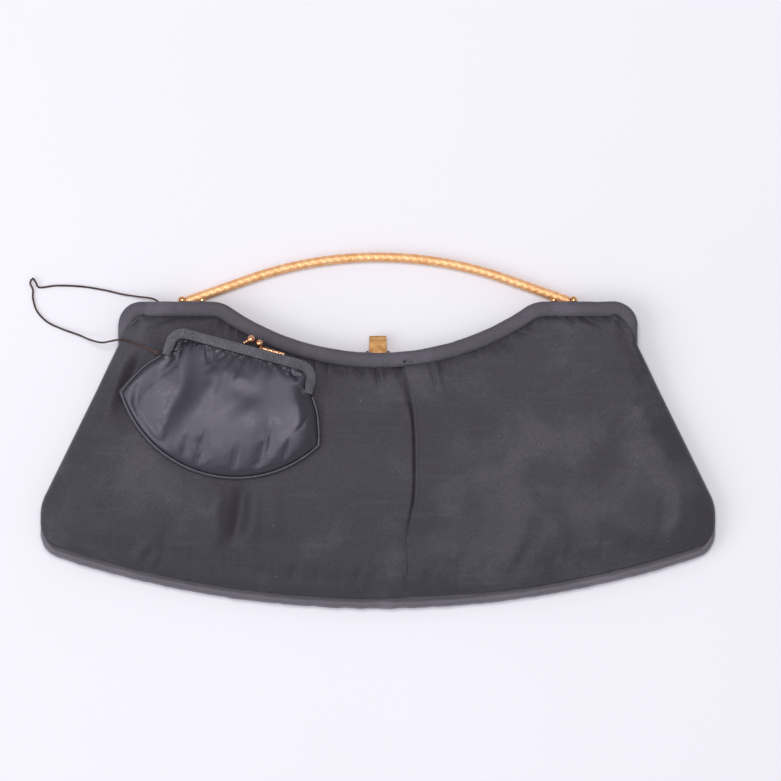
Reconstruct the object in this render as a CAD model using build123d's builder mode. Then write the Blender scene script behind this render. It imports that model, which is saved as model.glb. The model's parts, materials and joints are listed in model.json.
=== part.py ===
from build123d import *

import os
from math import asin, atan2, cos, degrees, radians, sin, sqrt, tan

# An evening clutch of black satin on a curved, fabric-covered metal frame, with a swinging handle, a lift
# clasp and a small kiss-lock coin purse tied on by a cord. It lies on its back: +X is its width, +Y runs up
# to the handle and +Z comes out of its front. The origin is on the face it rests on, on the centre line.
# Everything is in millimetres.

# ---- The frame's outline, along its outer edge ----
frame_half_width = 115.0
frame_top_y = 68.0
dip_y = 45.3
dip_radius = 117.0
shoulder_radius = 15.0
frame_corner_radius = 10.5

# ---- The frame's section ----
band_width = 6.5
cover_thickness = 0.4
steel = 0.8
slack = 0.05
jaw_depth = 4.8
jaw_gap = 1.2
back_jaw_z = 0.6
back_lap = 2.6  # the back jaw's edge sits this far inside the front jaw's
front_jaw_z = back_jaw_z + jaw_depth + jaw_gap

# ---- The frame's hinge, at the feet of its legs ----
hinge_y = 35.6
hinge_z = back_jaw_z + jaw_depth + jaw_gap / 2
leg_foot_y = 41.0
cover_foot_y = 49.0
ear_thickness = 1.0
ear_top_y = 48.0
ear_tail_length = 2.0
ear_tail_rise = 1.2
back_ear_x = 110.9
back_ear_radius = 2.3
front_ear_x = 113.2
front_ear_radius = 2.6
rivet_radius = 1.2
rivet_head_radius = 2.0
rivet_head = 0.6
paper_inset = 2.6
paper_size = 1.9

# ---- The body ----
body_half_width = 150.0
body_bottom_y = -67.9
bottom_radius = 457.0
side_top_x = 115.8
side_top_y = 47.7
side_flare = radians(26.2)
knee_radius = 20.0
toe_radius = 11.5
fabric = 0.9
interlining = 0.7
lining_thickness = 0.5
ply_gap = 0.1
mouth_y = 31.0  # the lower front panel, the lining and the interlining end here, below the hinge line
upper_panel_y = 37.0
upper_panel_thickness = 2.5
rim_z = 9.0
gusset_z = 1.0
gusset_height = 10.0
gusset_width = 4.2
front_side_inset = 1.0
front_bottom_inset = 4.5
back_bottom_inset = 1.5
pocket_width = 96.0
pocket_height = 52.0
pocket_corner_radius = 6.0
pocket_middle_y = -6.0
pocket_thickness = 1.2
pocket_ply = 0.4
pocket_hem = 3.0
pocket_foot = 2.0
leg_room_x = 116.2
belly_lengthwise = ((mouth_y, 12.4), (-18.0, 18.2), (-64.0, 11.0))
belly_crosswise = ((-150.0, 9.5), (0.0, 18.6), (150.0, 9.5))

# ---- The handle ----
handle_radius = 2.15
handle_arch_radius = 172.0
handle_end_angle = radians(19.3)
pivot_x = 82.6
pivot_y = 68.8
pivot_z = 3.4
pivot_pin_radius = 0.65
knob_radius = 1.85
knob_offset = 4.4
lug_thickness = 1.4
lug_radius = 1.4
bracket_half_length = 8.4
bracket_depth = 3.6
bracket_thickness = 0.6
bracket_rivet_offset = 6.8
bracket_corner_radius = 1.2
bracket_rivet_head_radius = 1.1
bracket_rivet_head = 0.4
lug_tail_half_depth = 1.2
pivot_rise = 0.5  # the bar's centre line passes this far above its pins
handle_end_run = 2.6  # the bar runs on this far past its pivot
handle_trim = 1.5  # and is cut off square this far below it

# ---- The clasp ----
tab_width = 7.8
tab_thickness = 0.8
tab_top_y = 53.0
tab_roll_radius = 1.1
clasp_y = 45.2
clasp_z = 3.6
clasp_pin_radius = 0.6
clasp_knuckle_radius = 1.15
clasp_pin_head_radius = 1.0
clasp_pin_head = 0.4
clasp_play = 0.3
clasp_ear = 0.7
clasp_ear_radius = 1.2
clasp_tail_low = 1.4
catch_half_width = 2.6
catch_height = 2.3
catch_plate = 1.2
catch_strip = 0.6

# ---- The coin purse ----
coin_turn = radians(15.2)  # its frame slopes down to the right
coin_slope = 0.0963  # it leans on the bag's belly, so its frame lies lower than its foot
coin_origin = (-61.75, 36.65, 14.55)
coin_half_width = 34.2
coin_top = 12.1
coin_corner_radius = 8.0
coin_band = 4.2
coin_cover = 0.3
coin_steel = 0.55
coin_jaw_depth = 2.7
coin_jaw_gap = 0.5
coin_back_jaw = 0.2
coin_front_jaw = coin_back_jaw + coin_jaw_depth + coin_jaw_gap
coin_hinge = coin_back_jaw + coin_jaw_depth + coin_jaw_gap / 2
coin_leg_foot = 2.2
coin_cover_foot = 4.0
coin_ear_thickness = 0.5
coin_back_ear = 31.6
coin_front_ear = 32.7
coin_back_ear_radius = 1.3
coin_front_ear_radius = 1.4
coin_tail = (2.9, 3.9)
coin_tail_height = 1.2
coin_rivet_radius = 0.5
coin_rivet_head_radius = 0.9
coin_rivet_head = 0.35
coin_panel_foot = 0.8
pouch_shoulder = 34.9
pouch_corner = 45.6
pouch_corner_drop = 22.0
pouch_drop = 47.6
pouch_drift = -2.3
pouch_mouth = -2.3
pouch_ply = 0.7
pouch_lengthwise = ((pouch_mouth, 4.9), (-24.0, 8.6), (-50.0, 2.6))
pouch_crosswise = ((-52.0, 2.6), (-2.0, 9.0), (48.0, 2.6))
seam_width = 1.8
seam_low = 1.1
seam_thickness = 1.2

# ---- The kiss lock and the cord ----
front_ball = (1.64, 15.5, 3.4)
front_ball_radius = 1.85
front_stem_foot = (-1.0, 12.7, 4.8)
back_ball = (5.75, 14.75, 2.9)
back_ball_radius = 1.7
back_stem_foot = (6.5, 12.75, 1.5)
stem_radius = 0.7
rail_radius = 0.55
rail_start = (7.8, 12.75, 1.5)
rail_end = (17.8, 12.75, 1.5)
cord_radius = 0.45
knot_radius = 1.1
cord_anchor_place = (-93.2, 56.6, 6.0)
cord_knot_place = (-97.6, 45.4, 15.5)

# ---- Worked out from the dimensions above ----
shoulder_y = frame_top_y - shoulder_radius
dip_centre_y = dip_y + dip_radius
shoulder_x = sqrt((dip_radius + shoulder_radius) ** 2 - (dip_centre_y - shoulder_y) ** 2)
dip_angle = degrees(asin(shoulder_x / (dip_radius + shoulder_radius)))
frame_corner_x = frame_half_width - frame_corner_radius
frame_corner_y = frame_top_y - frame_corner_radius
panel_lap = band_width + cover_thickness

coin_plane = Plane(
    origin=coin_origin,
    x_dir=(cos(coin_turn), -sin(coin_turn), coin_slope * sin(coin_turn)),
    z_dir=(0, coin_slope, 1),
)
front_of_body = Plane.XY


# ---- Outlines ----
def frame_edge(inset):
    """The frame's edge down to the top of each leg, inset from the outer edge."""
    with BuildLine() as edge:
        CenterArc((0, dip_centre_y), dip_radius + inset, 270, dip_angle)
        CenterArc((shoulder_x, shoulder_y), shoulder_radius - inset, 90 + dip_angle, -dip_angle)
        Line((shoulder_x, frame_top_y - inset), (frame_corner_x, frame_top_y - inset))
        CenterArc((frame_corner_x, frame_corner_y), frame_corner_radius - inset, 90, -90)
        mirror(about=Plane.YZ)
    return edge.line


def frame_band(outer_inset, inner_inset, foot_y):
    """The flat band between two insets of the frame's edge, with its legs cut off at foot_y."""
    outer_x = frame_half_width - outer_inset
    inner_x = frame_half_width - inner_inset
    with BuildSketch() as band:
        with BuildLine():
            add(frame_edge(outer_inset))
            add(frame_edge(inner_inset))
            for side in (-1, 1):
                Polyline(
                    (side * outer_x, frame_corner_y),
                    (side * outer_x, foot_y),
                    (side * inner_x, foot_y),
                    (side * inner_x, frame_corner_y),
                )
        make_face()
    return band.sketch


def under_frame(inset, foot_y):
    """Everything inside the frame's edge at this inset, down to foot_y."""
    half_width = frame_half_width - inset
    with BuildSketch() as window:
        with BuildLine():
            add(frame_edge(inset))
            Polyline(
                (half_width, frame_corner_y),
                (half_width, foot_y),
                (-half_width, foot_y),
                (-half_width, frame_corner_y),
            )
        make_face()
    return window.sketch


def body_outline(side_inset, bottom_inset, top_y):
    """The body: flared sides, a short upright stretch at each lower corner and one long curve underneath."""
    side_x = body_half_width - side_inset
    top_x = side_top_x + (side_top_y - top_y) * tan(side_flare) - side_inset / cos(side_flare)
    knee_y = top_y - (side_x - top_x) / tan(side_flare)
    knee_run = knee_radius * tan(side_flare / 2)
    knee_start = (side_x - knee_run * sin(side_flare), knee_y + knee_run * cos(side_flare))
    knee_end = (side_x, knee_y - knee_run)
    radius = bottom_radius - bottom_inset
    centre_y = body_bottom_y + bottom_radius
    toe_x = side_x - toe_radius
    toe_y = centre_y - sqrt((radius - toe_radius) ** 2 - toe_x**2)
    toe_angle = degrees(atan2(toe_y - centre_y, toe_x))
    with BuildSketch() as body:
        with BuildLine():
            Line((top_x, top_y), knee_start)
            TangentArc(knee_start, knee_end, tangent=(sin(side_flare), -cos(side_flare)))
            Line(knee_end, (side_x, toe_y))
            CenterArc((toe_x, toe_y), toe_radius, 0, toe_angle)
            mirror(about=Plane.YZ)
            CenterArc((0, centre_y), radius, toe_angle, -180 - 2 * toe_angle)
            Line((top_x, top_y), (-top_x, top_y))
        make_face()
    return body.sketch


def coin_edge(inset):
    """The coin purse's frame edge, from one leg to the other."""
    half_width = coin_half_width - inset
    top = coin_top - inset
    corner_x = coin_half_width - coin_corner_radius
    corner_y = coin_top - coin_corner_radius
    with BuildLine() as edge:
        Line((-corner_x, top), (corner_x, top))
        CenterArc((corner_x, corner_y), coin_corner_radius - inset, 90, -90)
        CenterArc((-corner_x, corner_y), coin_corner_radius - inset, 90, 90)
    return edge.line


def coin_band_sketch(outer_inset, inner_inset, foot):
    """The band between two insets of the coin purse's frame edge."""
    corner_y = coin_top - coin_corner_radius
    outer_x = coin_half_width - outer_inset
    inner_x = coin_half_width - inner_inset
    with BuildSketch() as band:
        with BuildLine():
            add(coin_edge(outer_inset))
            add(coin_edge(inner_inset))
            for side in (-1, 1):
                Polyline(
                    (side * outer_x, corner_y),
                    (side * outer_x, foot),
                    (side * inner_x, foot),
                    (side * inner_x, corner_y),
                )
        make_face()
    return band.sketch


def coin_window(inset, foot):
    """Everything inside the coin purse's frame edge at this inset, down to foot."""
    half_width = coin_half_width - inset
    corner_y = coin_top - coin_corner_radius
    with BuildSketch() as window:
        with BuildLine():
            add(coin_edge(inset))
            Polyline((half_width, corner_y), (half_width, foot), (-half_width, foot), (-half_width, corner_y))
        make_face()
    return window.sketch


def pouch_outline(inset, mouth=pouch_mouth):
    """The coin purse's pouch: sides that flare out to two corners and one deep curve between them."""
    flare = (pouch_corner - pouch_shoulder) / (pouch_corner_drop + pouch_mouth)
    mouth_x = pouch_shoulder - (mouth - pouch_mouth) * flare - inset
    corner_x = pouch_corner - inset
    with BuildSketch() as pouch:
        with BuildLine():
            Polyline(
                (corner_x + pouch_drift, -pouch_corner_drop),
                (mouth_x, mouth),
                (-mouth_x, mouth),
                (-corner_x + pouch_drift, -pouch_corner_drop),
            )
            ThreePointArc(
                (-corner_x + pouch_drift, -pouch_corner_drop),
                (pouch_drift, inset - pouch_drop),
                (corner_x + pouch_drift, -pouch_corner_drop),
            )
        make_face()
    return pouch.sketch


# ---- Solids that repeat ----
def across(place):
    """The plane that stands on a place's centre line, facing along its width."""
    return Plane(place.origin, x_dir=place.y_dir, z_dir=place.x_dir)


def dome(outline, place, low, drop, lengthwise, crosswise):
    """The outline raised from low and rounded off under two crossing arches, both lowered by drop."""
    front_plane = Plane(place.origin, x_dir=place.x_dir, z_dir=-place.y_dir)
    reach = 2 * body_half_width
    with BuildPart() as block:
        with BuildSketch(place.offset(low)):
            add(outline)
        extrude(amount=max(height for _, height in lengthwise) + slack)
        for plane, points in ((across(place), lengthwise), (front_plane, crosswise)):
            start, crown, end = [(along, height - drop) for along, height in points]
            floor = low - 1
            before = start[0] + (start[0] - end[0]) / 4
            after = end[0] - (start[0] - end[0]) / 4
            with BuildSketch(plane):
                with BuildLine():
                    ThreePointArc(start, crown, end)
                    Polyline(end, (after, end[1]), (after, floor), (before, floor), (before, start[1]), start)
                make_face()
            extrude(amount=reach, both=True, mode=Mode.INTERSECT)
    return block.part


def channel(band, place, low, lap, width, depth, cover, wall, foot):
    """A steel channel in its cover, open towards the bag: band draws its outline, lap is the cover's edge."""
    with BuildPart() as rail:
        with BuildSketch(place.offset(low + cover + slack)):
            add(band(lap + cover + slack, lap + width - cover, foot))
        extrude(amount=depth - 2 * (cover + slack))
        with BuildSketch(place.offset(low + cover + slack + wall)):
            add(band(lap + cover + slack + wall, lap + width, foot - 1))
        extrude(amount=depth - 2 * (cover + slack + wall), mode=Mode.SUBTRACT)
    return rail.part


def wrapped_cover(band, place, low, lap, width, depth, cover, foot):
    """The fabric wrapped over a channel's two faces and its outer edge."""
    with BuildPart() as wrap:
        with BuildSketch(place.offset(low)):
            add(band(lap, lap + width, foot))
        extrude(amount=depth)
        with BuildSketch(place.offset(low + cover)):
            add(band(lap + cover, lap + width + 1, foot - 1))
        extrude(amount=depth - 2 * cover, mode=Mode.SUBTRACT)
    return wrap.part


def ear(place, start, thickness, disc, radius, tail, hole):
    """A flat hinge ear: a disc with a hole, drawn out to a tail, standing across the width at start.
    disc and each corner of the tail are (along +Y of the place, out of the place)."""
    low_y, low_z, high_y, high_z = tail
    with BuildPart() as plate:
        with BuildSketch(across(place).offset(start)):
            with Locations(disc):
                Circle(radius)
            with Locations(((low_y + high_y) / 2, (low_z + high_z) / 2)):
                Rectangle(high_y - low_y, high_z - low_z)
            make_hull()
            with Locations(disc):
                Circle(hole, mode=Mode.SUBTRACT)
        extrude(amount=thickness)
    return plate.part


def hinge_rivet(place, centre, start, end, radius, head_radius, head):
    """A rivet across the width, from start to end, with a head outside each."""
    with BuildPart() as rivet:
        with BuildSketch(across(place).offset(start)):
            with Locations(centre):
                Circle(radius)
        extrude(amount=end - start)
        for head_start in (start - head, end):
            with BuildSketch(across(place).offset(head_start)):
                with Locations(centre):
                    Circle(head_radius)
            extrude(amount=head)
    return rivet.part


def cord_along(points):
    """A round cord through the points."""
    with BuildPart() as strand:
        with BuildLine():
            path = Spline(*points)
        with BuildSketch(Plane(origin=path @ 0, z_dir=path % 0)):
            Circle(cord_radius)
        sweep()
    return strand.part


def finish(piece, name):
    """Names a sub-part and writes its file."""
    piece.label = name
    export_step(piece, f"parts/{name}.step")


os.makedirs("parts", exist_ok=True)

# ---- The steel frame: two channels that meet at a rivet through each pair of ears ----
ear_hole = rivet_radius + slack
ear_disc = (hinge_y, hinge_z)
ear_tail_y = ear_top_y - ear_tail_length
back_tail = (ear_tail_y, back_jaw_z + ear_tail_rise, ear_top_y, back_jaw_z + jaw_depth - ear_tail_rise)
front_tail = (ear_tail_y, front_jaw_z + ear_tail_rise, ear_top_y, front_jaw_z + jaw_depth - ear_tail_rise)

with BuildPart() as back_frame:
    add(channel(frame_band, Plane.XY, back_jaw_z, back_lap, band_width, jaw_depth, cover_thickness, steel,
                leg_foot_y))
    for side in (-1, 1):
        add(ear(Plane.XY, side * back_ear_x, side * ear_thickness, ear_disc, back_ear_radius, back_tail,
                ear_hole))
        for offset_x in (-bracket_rivet_offset, bracket_rivet_offset):
            with BuildSketch(Plane.XZ.offset(-frame_top_y)):
                with Locations((side * pivot_x + offset_x, pivot_z)):
                    Circle(pivot_pin_radius)
            extrude(amount=band_width, mode=Mode.SUBTRACT)
finish(back_frame.part, "back_frame")

with BuildPart() as front_frame:
    add(channel(frame_band, Plane.XY, front_jaw_z, 0, band_width, jaw_depth, cover_thickness, steel,
                leg_foot_y))
    for side in (-1, 1):
        add(ear(Plane.XY, side * front_ear_x, side * ear_thickness, ear_disc, front_ear_radius, front_tail,
                ear_hole))
finish(front_frame.part, "front_frame")

rivet_start = back_ear_x - 2 * slack
rivet_end = front_ear_x + ear_thickness + 2 * slack
with BuildPart() as frame_rivets:
    add(hinge_rivet(Plane.XY, ear_disc, rivet_start, rivet_end, rivet_radius, rivet_head_radius, rivet_head))
    mirror(about=Plane.YZ)
finish(frame_rivets.part, "frame_rivets")

# ---- The fabric on the frame, and the paper cord that wedges the panels into the channels ----
with BuildPart() as back_frame_cover:
    add(wrapped_cover(frame_band, Plane.XY, back_jaw_z, back_lap, band_width, jaw_depth, cover_thickness,
                      cover_foot_y))
    for side in (-1, 1):
        for offset_x in (-bracket_rivet_offset, bracket_rivet_offset):
            with BuildSketch(Plane.XZ.offset(-frame_top_y)):
                with Locations((side * pivot_x + offset_x, pivot_z)):
                    Circle(pivot_pin_radius)
            extrude(amount=band_width / 2, mode=Mode.SUBTRACT)
finish(back_frame_cover.part, "back_frame_cover")

with BuildPart() as front_frame_cover:
    add(wrapped_cover(frame_band, Plane.XY, front_jaw_z, 0, band_width, jaw_depth, cover_thickness,
                      cover_foot_y))
finish(front_frame_cover.part, "front_frame_cover")

paper_rise = (jaw_depth - paper_size) / 2
with BuildPart() as back_paper_cord:
    with BuildSketch(Plane.XY.offset(back_jaw_z + paper_rise)):
        add(frame_band(back_lap + paper_inset, back_lap + paper_inset + paper_size, cover_foot_y))
    extrude(amount=paper_size)
finish(back_paper_cord.part, "back_paper_cord")

with BuildPart() as front_paper_cord:
    with BuildSketch(Plane.XY.offset(front_jaw_z + paper_rise)):
        add(frame_band(paper_inset, paper_inset + paper_size, cover_foot_y))
    extrude(amount=paper_size)
finish(front_paper_cord.part, "front_paper_cord")

# ---- The body: a flat back, a bellied front in two solids, and a gusset between them ----
back_window_inset = back_lap + panel_lap
with BuildPart() as back_panel:
    with BuildSketch():
        add(body_outline(front_side_inset, back_bottom_inset, mouth_y))
        add(under_frame(back_window_inset, mouth_y - 1))
    extrude(amount=fabric)
finish(back_panel.part, "back_panel")

with BuildPart() as front_panel_lower:
    add(dome(body_outline(front_side_inset, front_bottom_inset, mouth_y), front_of_body, rim_z, 0,
             belly_lengthwise, belly_crosswise))
    add(dome(body_outline(front_side_inset + fabric, front_bottom_inset + fabric, mouth_y + 1), front_of_body,
             rim_z - 1, fabric, belly_lengthwise, belly_crosswise),
        mode=Mode.SUBTRACT)
finish(front_panel_lower.part, "front_panel_lower")

with BuildPart() as front_panel_upper:
    with BuildSketch(Plane.XY.offset(front_jaw_z + jaw_depth / 2 - upper_panel_thickness / 2)):
        add(under_frame(panel_lap, upper_panel_y))
    extrude(amount=upper_panel_thickness)
finish(front_panel_upper.part, "front_panel_upper")

with BuildPart() as bottom_gusset:
    with BuildSketch(Plane.XY.offset(gusset_z)):
        add(body_outline(0, 0, side_top_y))
        add(body_outline(gusset_width, gusset_width, side_top_y + 1), mode=Mode.SUBTRACT)
        with Locations((0, side_top_y)):
            Rectangle(2 * leg_room_x, 2 * (side_top_y - mouth_y), mode=Mode.SUBTRACT)
    extrude(amount=gusset_height)
    with BuildSketch(Plane.XY.offset(rim_z - 2 * ply_gap)):
        add(body_outline(front_side_inset - 2 * ply_gap, front_bottom_inset - 2 * ply_gap, side_top_y + 1))
    extrude(amount=gusset_height, mode=Mode.SUBTRACT)
finish(bottom_gusset.part, "bottom_gusset")

# ---- Inside the body: an interlining behind each panel, the lining bag and its flat pocket ----
inner_back_z = fabric + ply_gap
lining_back_z = inner_back_z + interlining + ply_gap
inner_inset = gusset_width + 2 * ply_gap
with BuildPart() as back_interlining:
    with BuildSketch(Plane.XY.offset(inner_back_z)):
        add(body_outline(inner_inset, inner_inset, mouth_y))
        add(under_frame(back_window_inset, mouth_y - 1))
    extrude(amount=interlining)
finish(back_interlining.part, "back_interlining")

ply_drop = fabric + ply_gap
with BuildPart() as front_interlining:
    add(dome(body_outline(inner_inset, front_bottom_inset + ply_drop, mouth_y), front_of_body, rim_z,
             ply_drop, belly_lengthwise, belly_crosswise))
    inner_bottom_inset = front_bottom_inset + ply_drop + interlining
    add(dome(body_outline(inner_inset + interlining, inner_bottom_inset, mouth_y + 1), front_of_body,
             rim_z - 1, ply_drop + interlining, belly_lengthwise, belly_crosswise),
        mode=Mode.SUBTRACT)
finish(front_interlining.part, "front_interlining")

lining_drop = ply_drop + interlining + ply_gap
lining_inset = inner_inset + interlining + ply_gap
lining_bottom_inset = front_bottom_inset + lining_drop
with BuildPart() as lining:
    add(dome(body_outline(lining_inset, lining_bottom_inset, mouth_y), front_of_body, lining_back_z,
             lining_drop, belly_lengthwise, belly_crosswise))
    hollow_inset = lining_inset + lining_thickness
    hollow = body_outline(hollow_inset, lining_bottom_inset + lining_thickness, mouth_y + 1)
    add(dome(hollow, front_of_body, lining_back_z + lining_thickness, lining_drop + lining_thickness,
             belly_lengthwise, belly_crosswise), mode=Mode.SUBTRACT)
    with BuildSketch(Plane.XY.offset(lining_back_z)):
        add(under_frame(back_window_inset, mouth_y - 1))
    extrude(amount=lining_thickness)
finish(lining.part, "lining")

pocket_z = lining_back_z + lining_thickness + ply_gap
with BuildPart() as inner_pocket:
    with BuildSketch(Plane.XY.offset(pocket_z)):
        with Locations((0, pocket_middle_y)):
            RectangleRounded(pocket_width, pocket_height, pocket_corner_radius)
    extrude(amount=pocket_thickness)
    with BuildSketch(Plane.XY.offset(pocket_z + pocket_ply)):
        with Locations((0, pocket_middle_y + pocket_foot)):
            Rectangle(pocket_width - 2 * pocket_hem, pocket_height)
    extrude(amount=pocket_thickness - 2 * pocket_ply, mode=Mode.SUBTRACT)
finish(inner_pocket.part, "inner_pocket")

# ---- The handle: an arched bar, forked at each end over a lug on the back frame ----
arch_half = handle_arch_radius * sin(handle_end_angle)
straight_run = pivot_x + handle_end_run - arch_half
arch_top_y = (
    pivot_y + pivot_rise
    + handle_arch_radius * (1 - cos(handle_end_angle))
    + (pivot_x - arch_half) * tan(handle_end_angle)
)
handle_trim_y = pivot_y - handle_trim
arch_centre = (0, arch_top_y - handle_arch_radius)
end_degrees = degrees(handle_end_angle)
straight_drop = straight_run * tan(handle_end_angle)
pivot_ball = knob_radius + slack
with BuildPart() as handle_bar:
    with BuildLine(Plane.XY.offset(pivot_z)) as bar_path:
        arch = CenterArc(arch_centre, handle_arch_radius, 90 - end_degrees, 2 * end_degrees)
        for foot, side in ((arch @ 0, 1), (arch @ 1, -1)):
            Line((foot.X, foot.Y), (foot.X + side * straight_run, foot.Y - straight_drop))
    bar_start = bar_path.wire() @ 0
    with BuildSketch(Plane(origin=bar_start, z_dir=bar_path.wire() % 0)):
        Circle(handle_radius)
    sweep(path=bar_path.wire())
    with BuildSketch(Plane.XY):
        with Locations((0, handle_trim_y - handle_radius)):
            Rectangle(3 * pivot_x, 2 * handle_radius)
    extrude(amount=4 * handle_radius, mode=Mode.SUBTRACT)
    for side in (-1, 1):
        with BuildSketch(Plane.XY):
            with Locations((side * pivot_x, pivot_y - lug_radius)):
                Rectangle(lug_thickness + 8 * slack, 4 * lug_radius + 6 * slack)
        extrude(amount=4 * handle_radius, mode=Mode.SUBTRACT)
    with BuildSketch(Plane.YZ):
        with Locations((pivot_y, pivot_z)):
            Circle(pivot_pin_radius + slack)
    extrude(amount=pivot_x + knob_offset, both=True, mode=Mode.SUBTRACT)
    for side in (-1, 1):
        for offset_x in (-knob_offset, knob_offset):
            with Locations((side * pivot_x + offset_x, pivot_y, pivot_z)):
                Sphere(pivot_ball, mode=Mode.SUBTRACT)
finish(handle_bar.part, "handle_bar")

with BuildPart() as handle_pins:
    for side in (-1, 1):
        with BuildSketch(Plane.XY.offset(pivot_z)):
            with Locations((side * pivot_x - knob_offset, pivot_y), (side * pivot_x + knob_offset, pivot_y)):
                Circle(knob_radius)
            with Locations((side * pivot_x, pivot_y)):
                Rectangle(2 * knob_offset, 2 * pivot_pin_radius)
            with Locations((side * pivot_x, pivot_y - knob_radius)):
                Rectangle(4 * knob_offset, 2 * knob_radius, mode=Mode.SUBTRACT)
        revolve(axis=Axis((0, pivot_y, pivot_z), (1, 0, 0)))
finish(handle_pins.part, "handle_pins")

bracket_foot_y = frame_top_y - back_lap + slack
bracket_top_y = bracket_foot_y + bracket_thickness
with BuildPart() as handle_brackets:
    for side in (-1, 1):
        with BuildSketch(Plane.XZ.offset(-bracket_top_y)):
            with Locations((side * pivot_x, pivot_z - slack)):
                RectangleRounded(2 * bracket_half_length, bracket_depth, bracket_corner_radius)
            for step in (-bracket_rivet_offset, bracket_rivet_offset):
                with Locations((side * pivot_x + step, pivot_z)):
                    Circle(pivot_pin_radius, mode=Mode.SUBTRACT)
        extrude(amount=bracket_thickness)
        lug_tail = (bracket_top_y - bracket_thickness / 2, pivot_z - lug_tail_half_depth,
                    bracket_top_y, pivot_z + lug_tail_half_depth)
        add(ear(Plane.XY, side * pivot_x - lug_thickness / 2, lug_thickness, (pivot_y, pivot_z), lug_radius,
                lug_tail, pivot_pin_radius + slack))
finish(handle_brackets.part, "handle_brackets")

rivet_shank_radius = pivot_pin_radius - slack
with BuildPart() as bracket_rivets:
    for side in (-1, 1):
        for step in (-bracket_rivet_offset, bracket_rivet_offset):
            centre = (side * pivot_x + step, pivot_z)
            with BuildSketch(Plane.XZ.offset(-bracket_top_y - slack)):
                with Locations(centre):
                    Circle(rivet_shank_radius)
            extrude(amount=bracket_thickness + cover_thickness + steel + 4 * slack)
            with BuildSketch(Plane.XZ.offset(-bracket_top_y - slack - bracket_rivet_head)):
                with Locations(centre):
                    Circle(bracket_rivet_head_radius)
            extrude(amount=bracket_rivet_head)
finish(bracket_rivets.part, "bracket_rivets")

# ---- The clasp: a rolled tab that tips back on its pin and holds a hook on the front jaw ----
clasp_foot_y = dip_y - back_lap + 4 * slack
clasp_base_y = clasp_foot_y + bracket_thickness
clasp_ear_x = tab_width / 2 + clasp_play
with BuildPart() as clasp_bracket:
    with BuildSketch(Plane.XZ.offset(-clasp_base_y)):
        with Locations((0, clasp_z - clasp_play)):
            Rectangle(2 * (clasp_ear_x + clasp_ear), bracket_depth)
    extrude(amount=bracket_thickness)
    clasp_tail = (clasp_foot_y + 4 * slack, clasp_z - clasp_tail_low, clasp_base_y - 2 * slack,
                  clasp_z + clasp_ear_radius)
    for start in (clasp_ear_x, -clasp_ear_x - clasp_ear):
        add(ear(Plane.XY, start, clasp_ear, (clasp_y, clasp_z), clasp_ear_radius, clasp_tail,
                clasp_pin_radius + slack))
finish(clasp_bracket.part, "clasp_bracket")

with BuildPart() as clasp_pin:
    pin_reach = clasp_ear_x + clasp_ear + slack
    add(hinge_rivet(Plane.XY, (clasp_y, clasp_z), -pin_reach, pin_reach, clasp_pin_radius,
                    clasp_pin_head_radius, clasp_pin_head))
finish(clasp_pin.part, "clasp_pin")

roll_y = tab_top_y - tab_roll_radius
sheet_z = clasp_z + clasp_knuckle_radius - tab_thickness / 2
with BuildPart() as clasp_tab:
    with BuildSketch(Plane.YZ):
        with Locations((clasp_y, clasp_z)):
            Circle(clasp_knuckle_radius)
        with Locations((roll_y, sheet_z)):
            Circle(tab_roll_radius)
        with Locations(((clasp_y + roll_y) / 2, sheet_z)):
            Rectangle(roll_y - clasp_y, tab_thickness)
        with Locations((clasp_y, clasp_z)):
            Circle(clasp_pin_radius + slack, mode=Mode.SUBTRACT)
    extrude(amount=tab_width / 2, both=True)
finish(clasp_tab.part, "clasp_tab")

catch_foot_y = dip_y + 2 * slack
catch_low_z = sheet_z + tab_thickness / 2 + clasp_play
with BuildPart() as clasp_catch:
    with BuildSketch(Plane.XY.offset(catch_low_z)):
        with BuildLine():
            Polyline((-catch_half_width, catch_foot_y), (0, catch_foot_y + catch_height),
                     (catch_half_width, catch_foot_y), close=True)
        make_face()
    extrude(amount=catch_plate)
    with BuildSketch(Plane.XY.offset(catch_low_z)):
        with Locations((0, catch_foot_y + catch_strip / 2)):
            Rectangle(2 * catch_half_width, catch_strip)
    extrude(amount=jaw_depth + catch_strip)
finish(clasp_catch.part, "clasp_catch")

# ---- The coin purse's frame ----
coin_jaws = {"coin_back": coin_back_jaw, "coin_front": coin_front_jaw}
coin_disc = (0, coin_hinge)
coin_ears = {
    "coin_back": (coin_back_ear, coin_back_ear_radius),
    "coin_front": (coin_front_ear, coin_front_ear_radius),
}
for jaw, low in coin_jaws.items():
    ear_start, disc_radius = coin_ears[jaw]
    tail_low = low + (coin_jaw_depth - coin_tail_height) / 2
    ear_tail = (coin_tail[0], tail_low, coin_tail[1], tail_low + coin_tail_height)
    with BuildPart() as coin_frame:
        add(channel(coin_band_sketch, coin_plane, low, 0, coin_band, coin_jaw_depth, coin_cover, coin_steel,
                    coin_leg_foot))
        for start, thickness in ((ear_start, coin_ear_thickness), (-ear_start, -coin_ear_thickness)):
            add(ear(coin_plane, start, thickness, coin_disc, disc_radius, ear_tail,
                    coin_rivet_radius + slack))
    finish(coin_frame.part, jaw + "_frame")

    with BuildPart() as coin_frame_cover:
        add(wrapped_cover(coin_band_sketch, coin_plane, low, 0, coin_band, coin_jaw_depth, coin_cover,
                          coin_cover_foot))
    finish(coin_frame_cover.part, jaw + "_cover")

with BuildPart() as coin_rivets:
    for side in (-1, 1):
        ends = (side * (coin_back_ear - slack), side * (coin_front_ear + coin_ear_thickness + slack))
        add(hinge_rivet(coin_plane, coin_disc, min(ends), max(ends), coin_rivet_radius,
                        coin_rivet_head_radius, coin_rivet_head))
finish(coin_rivets.part, "coin_rivets")

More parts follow.
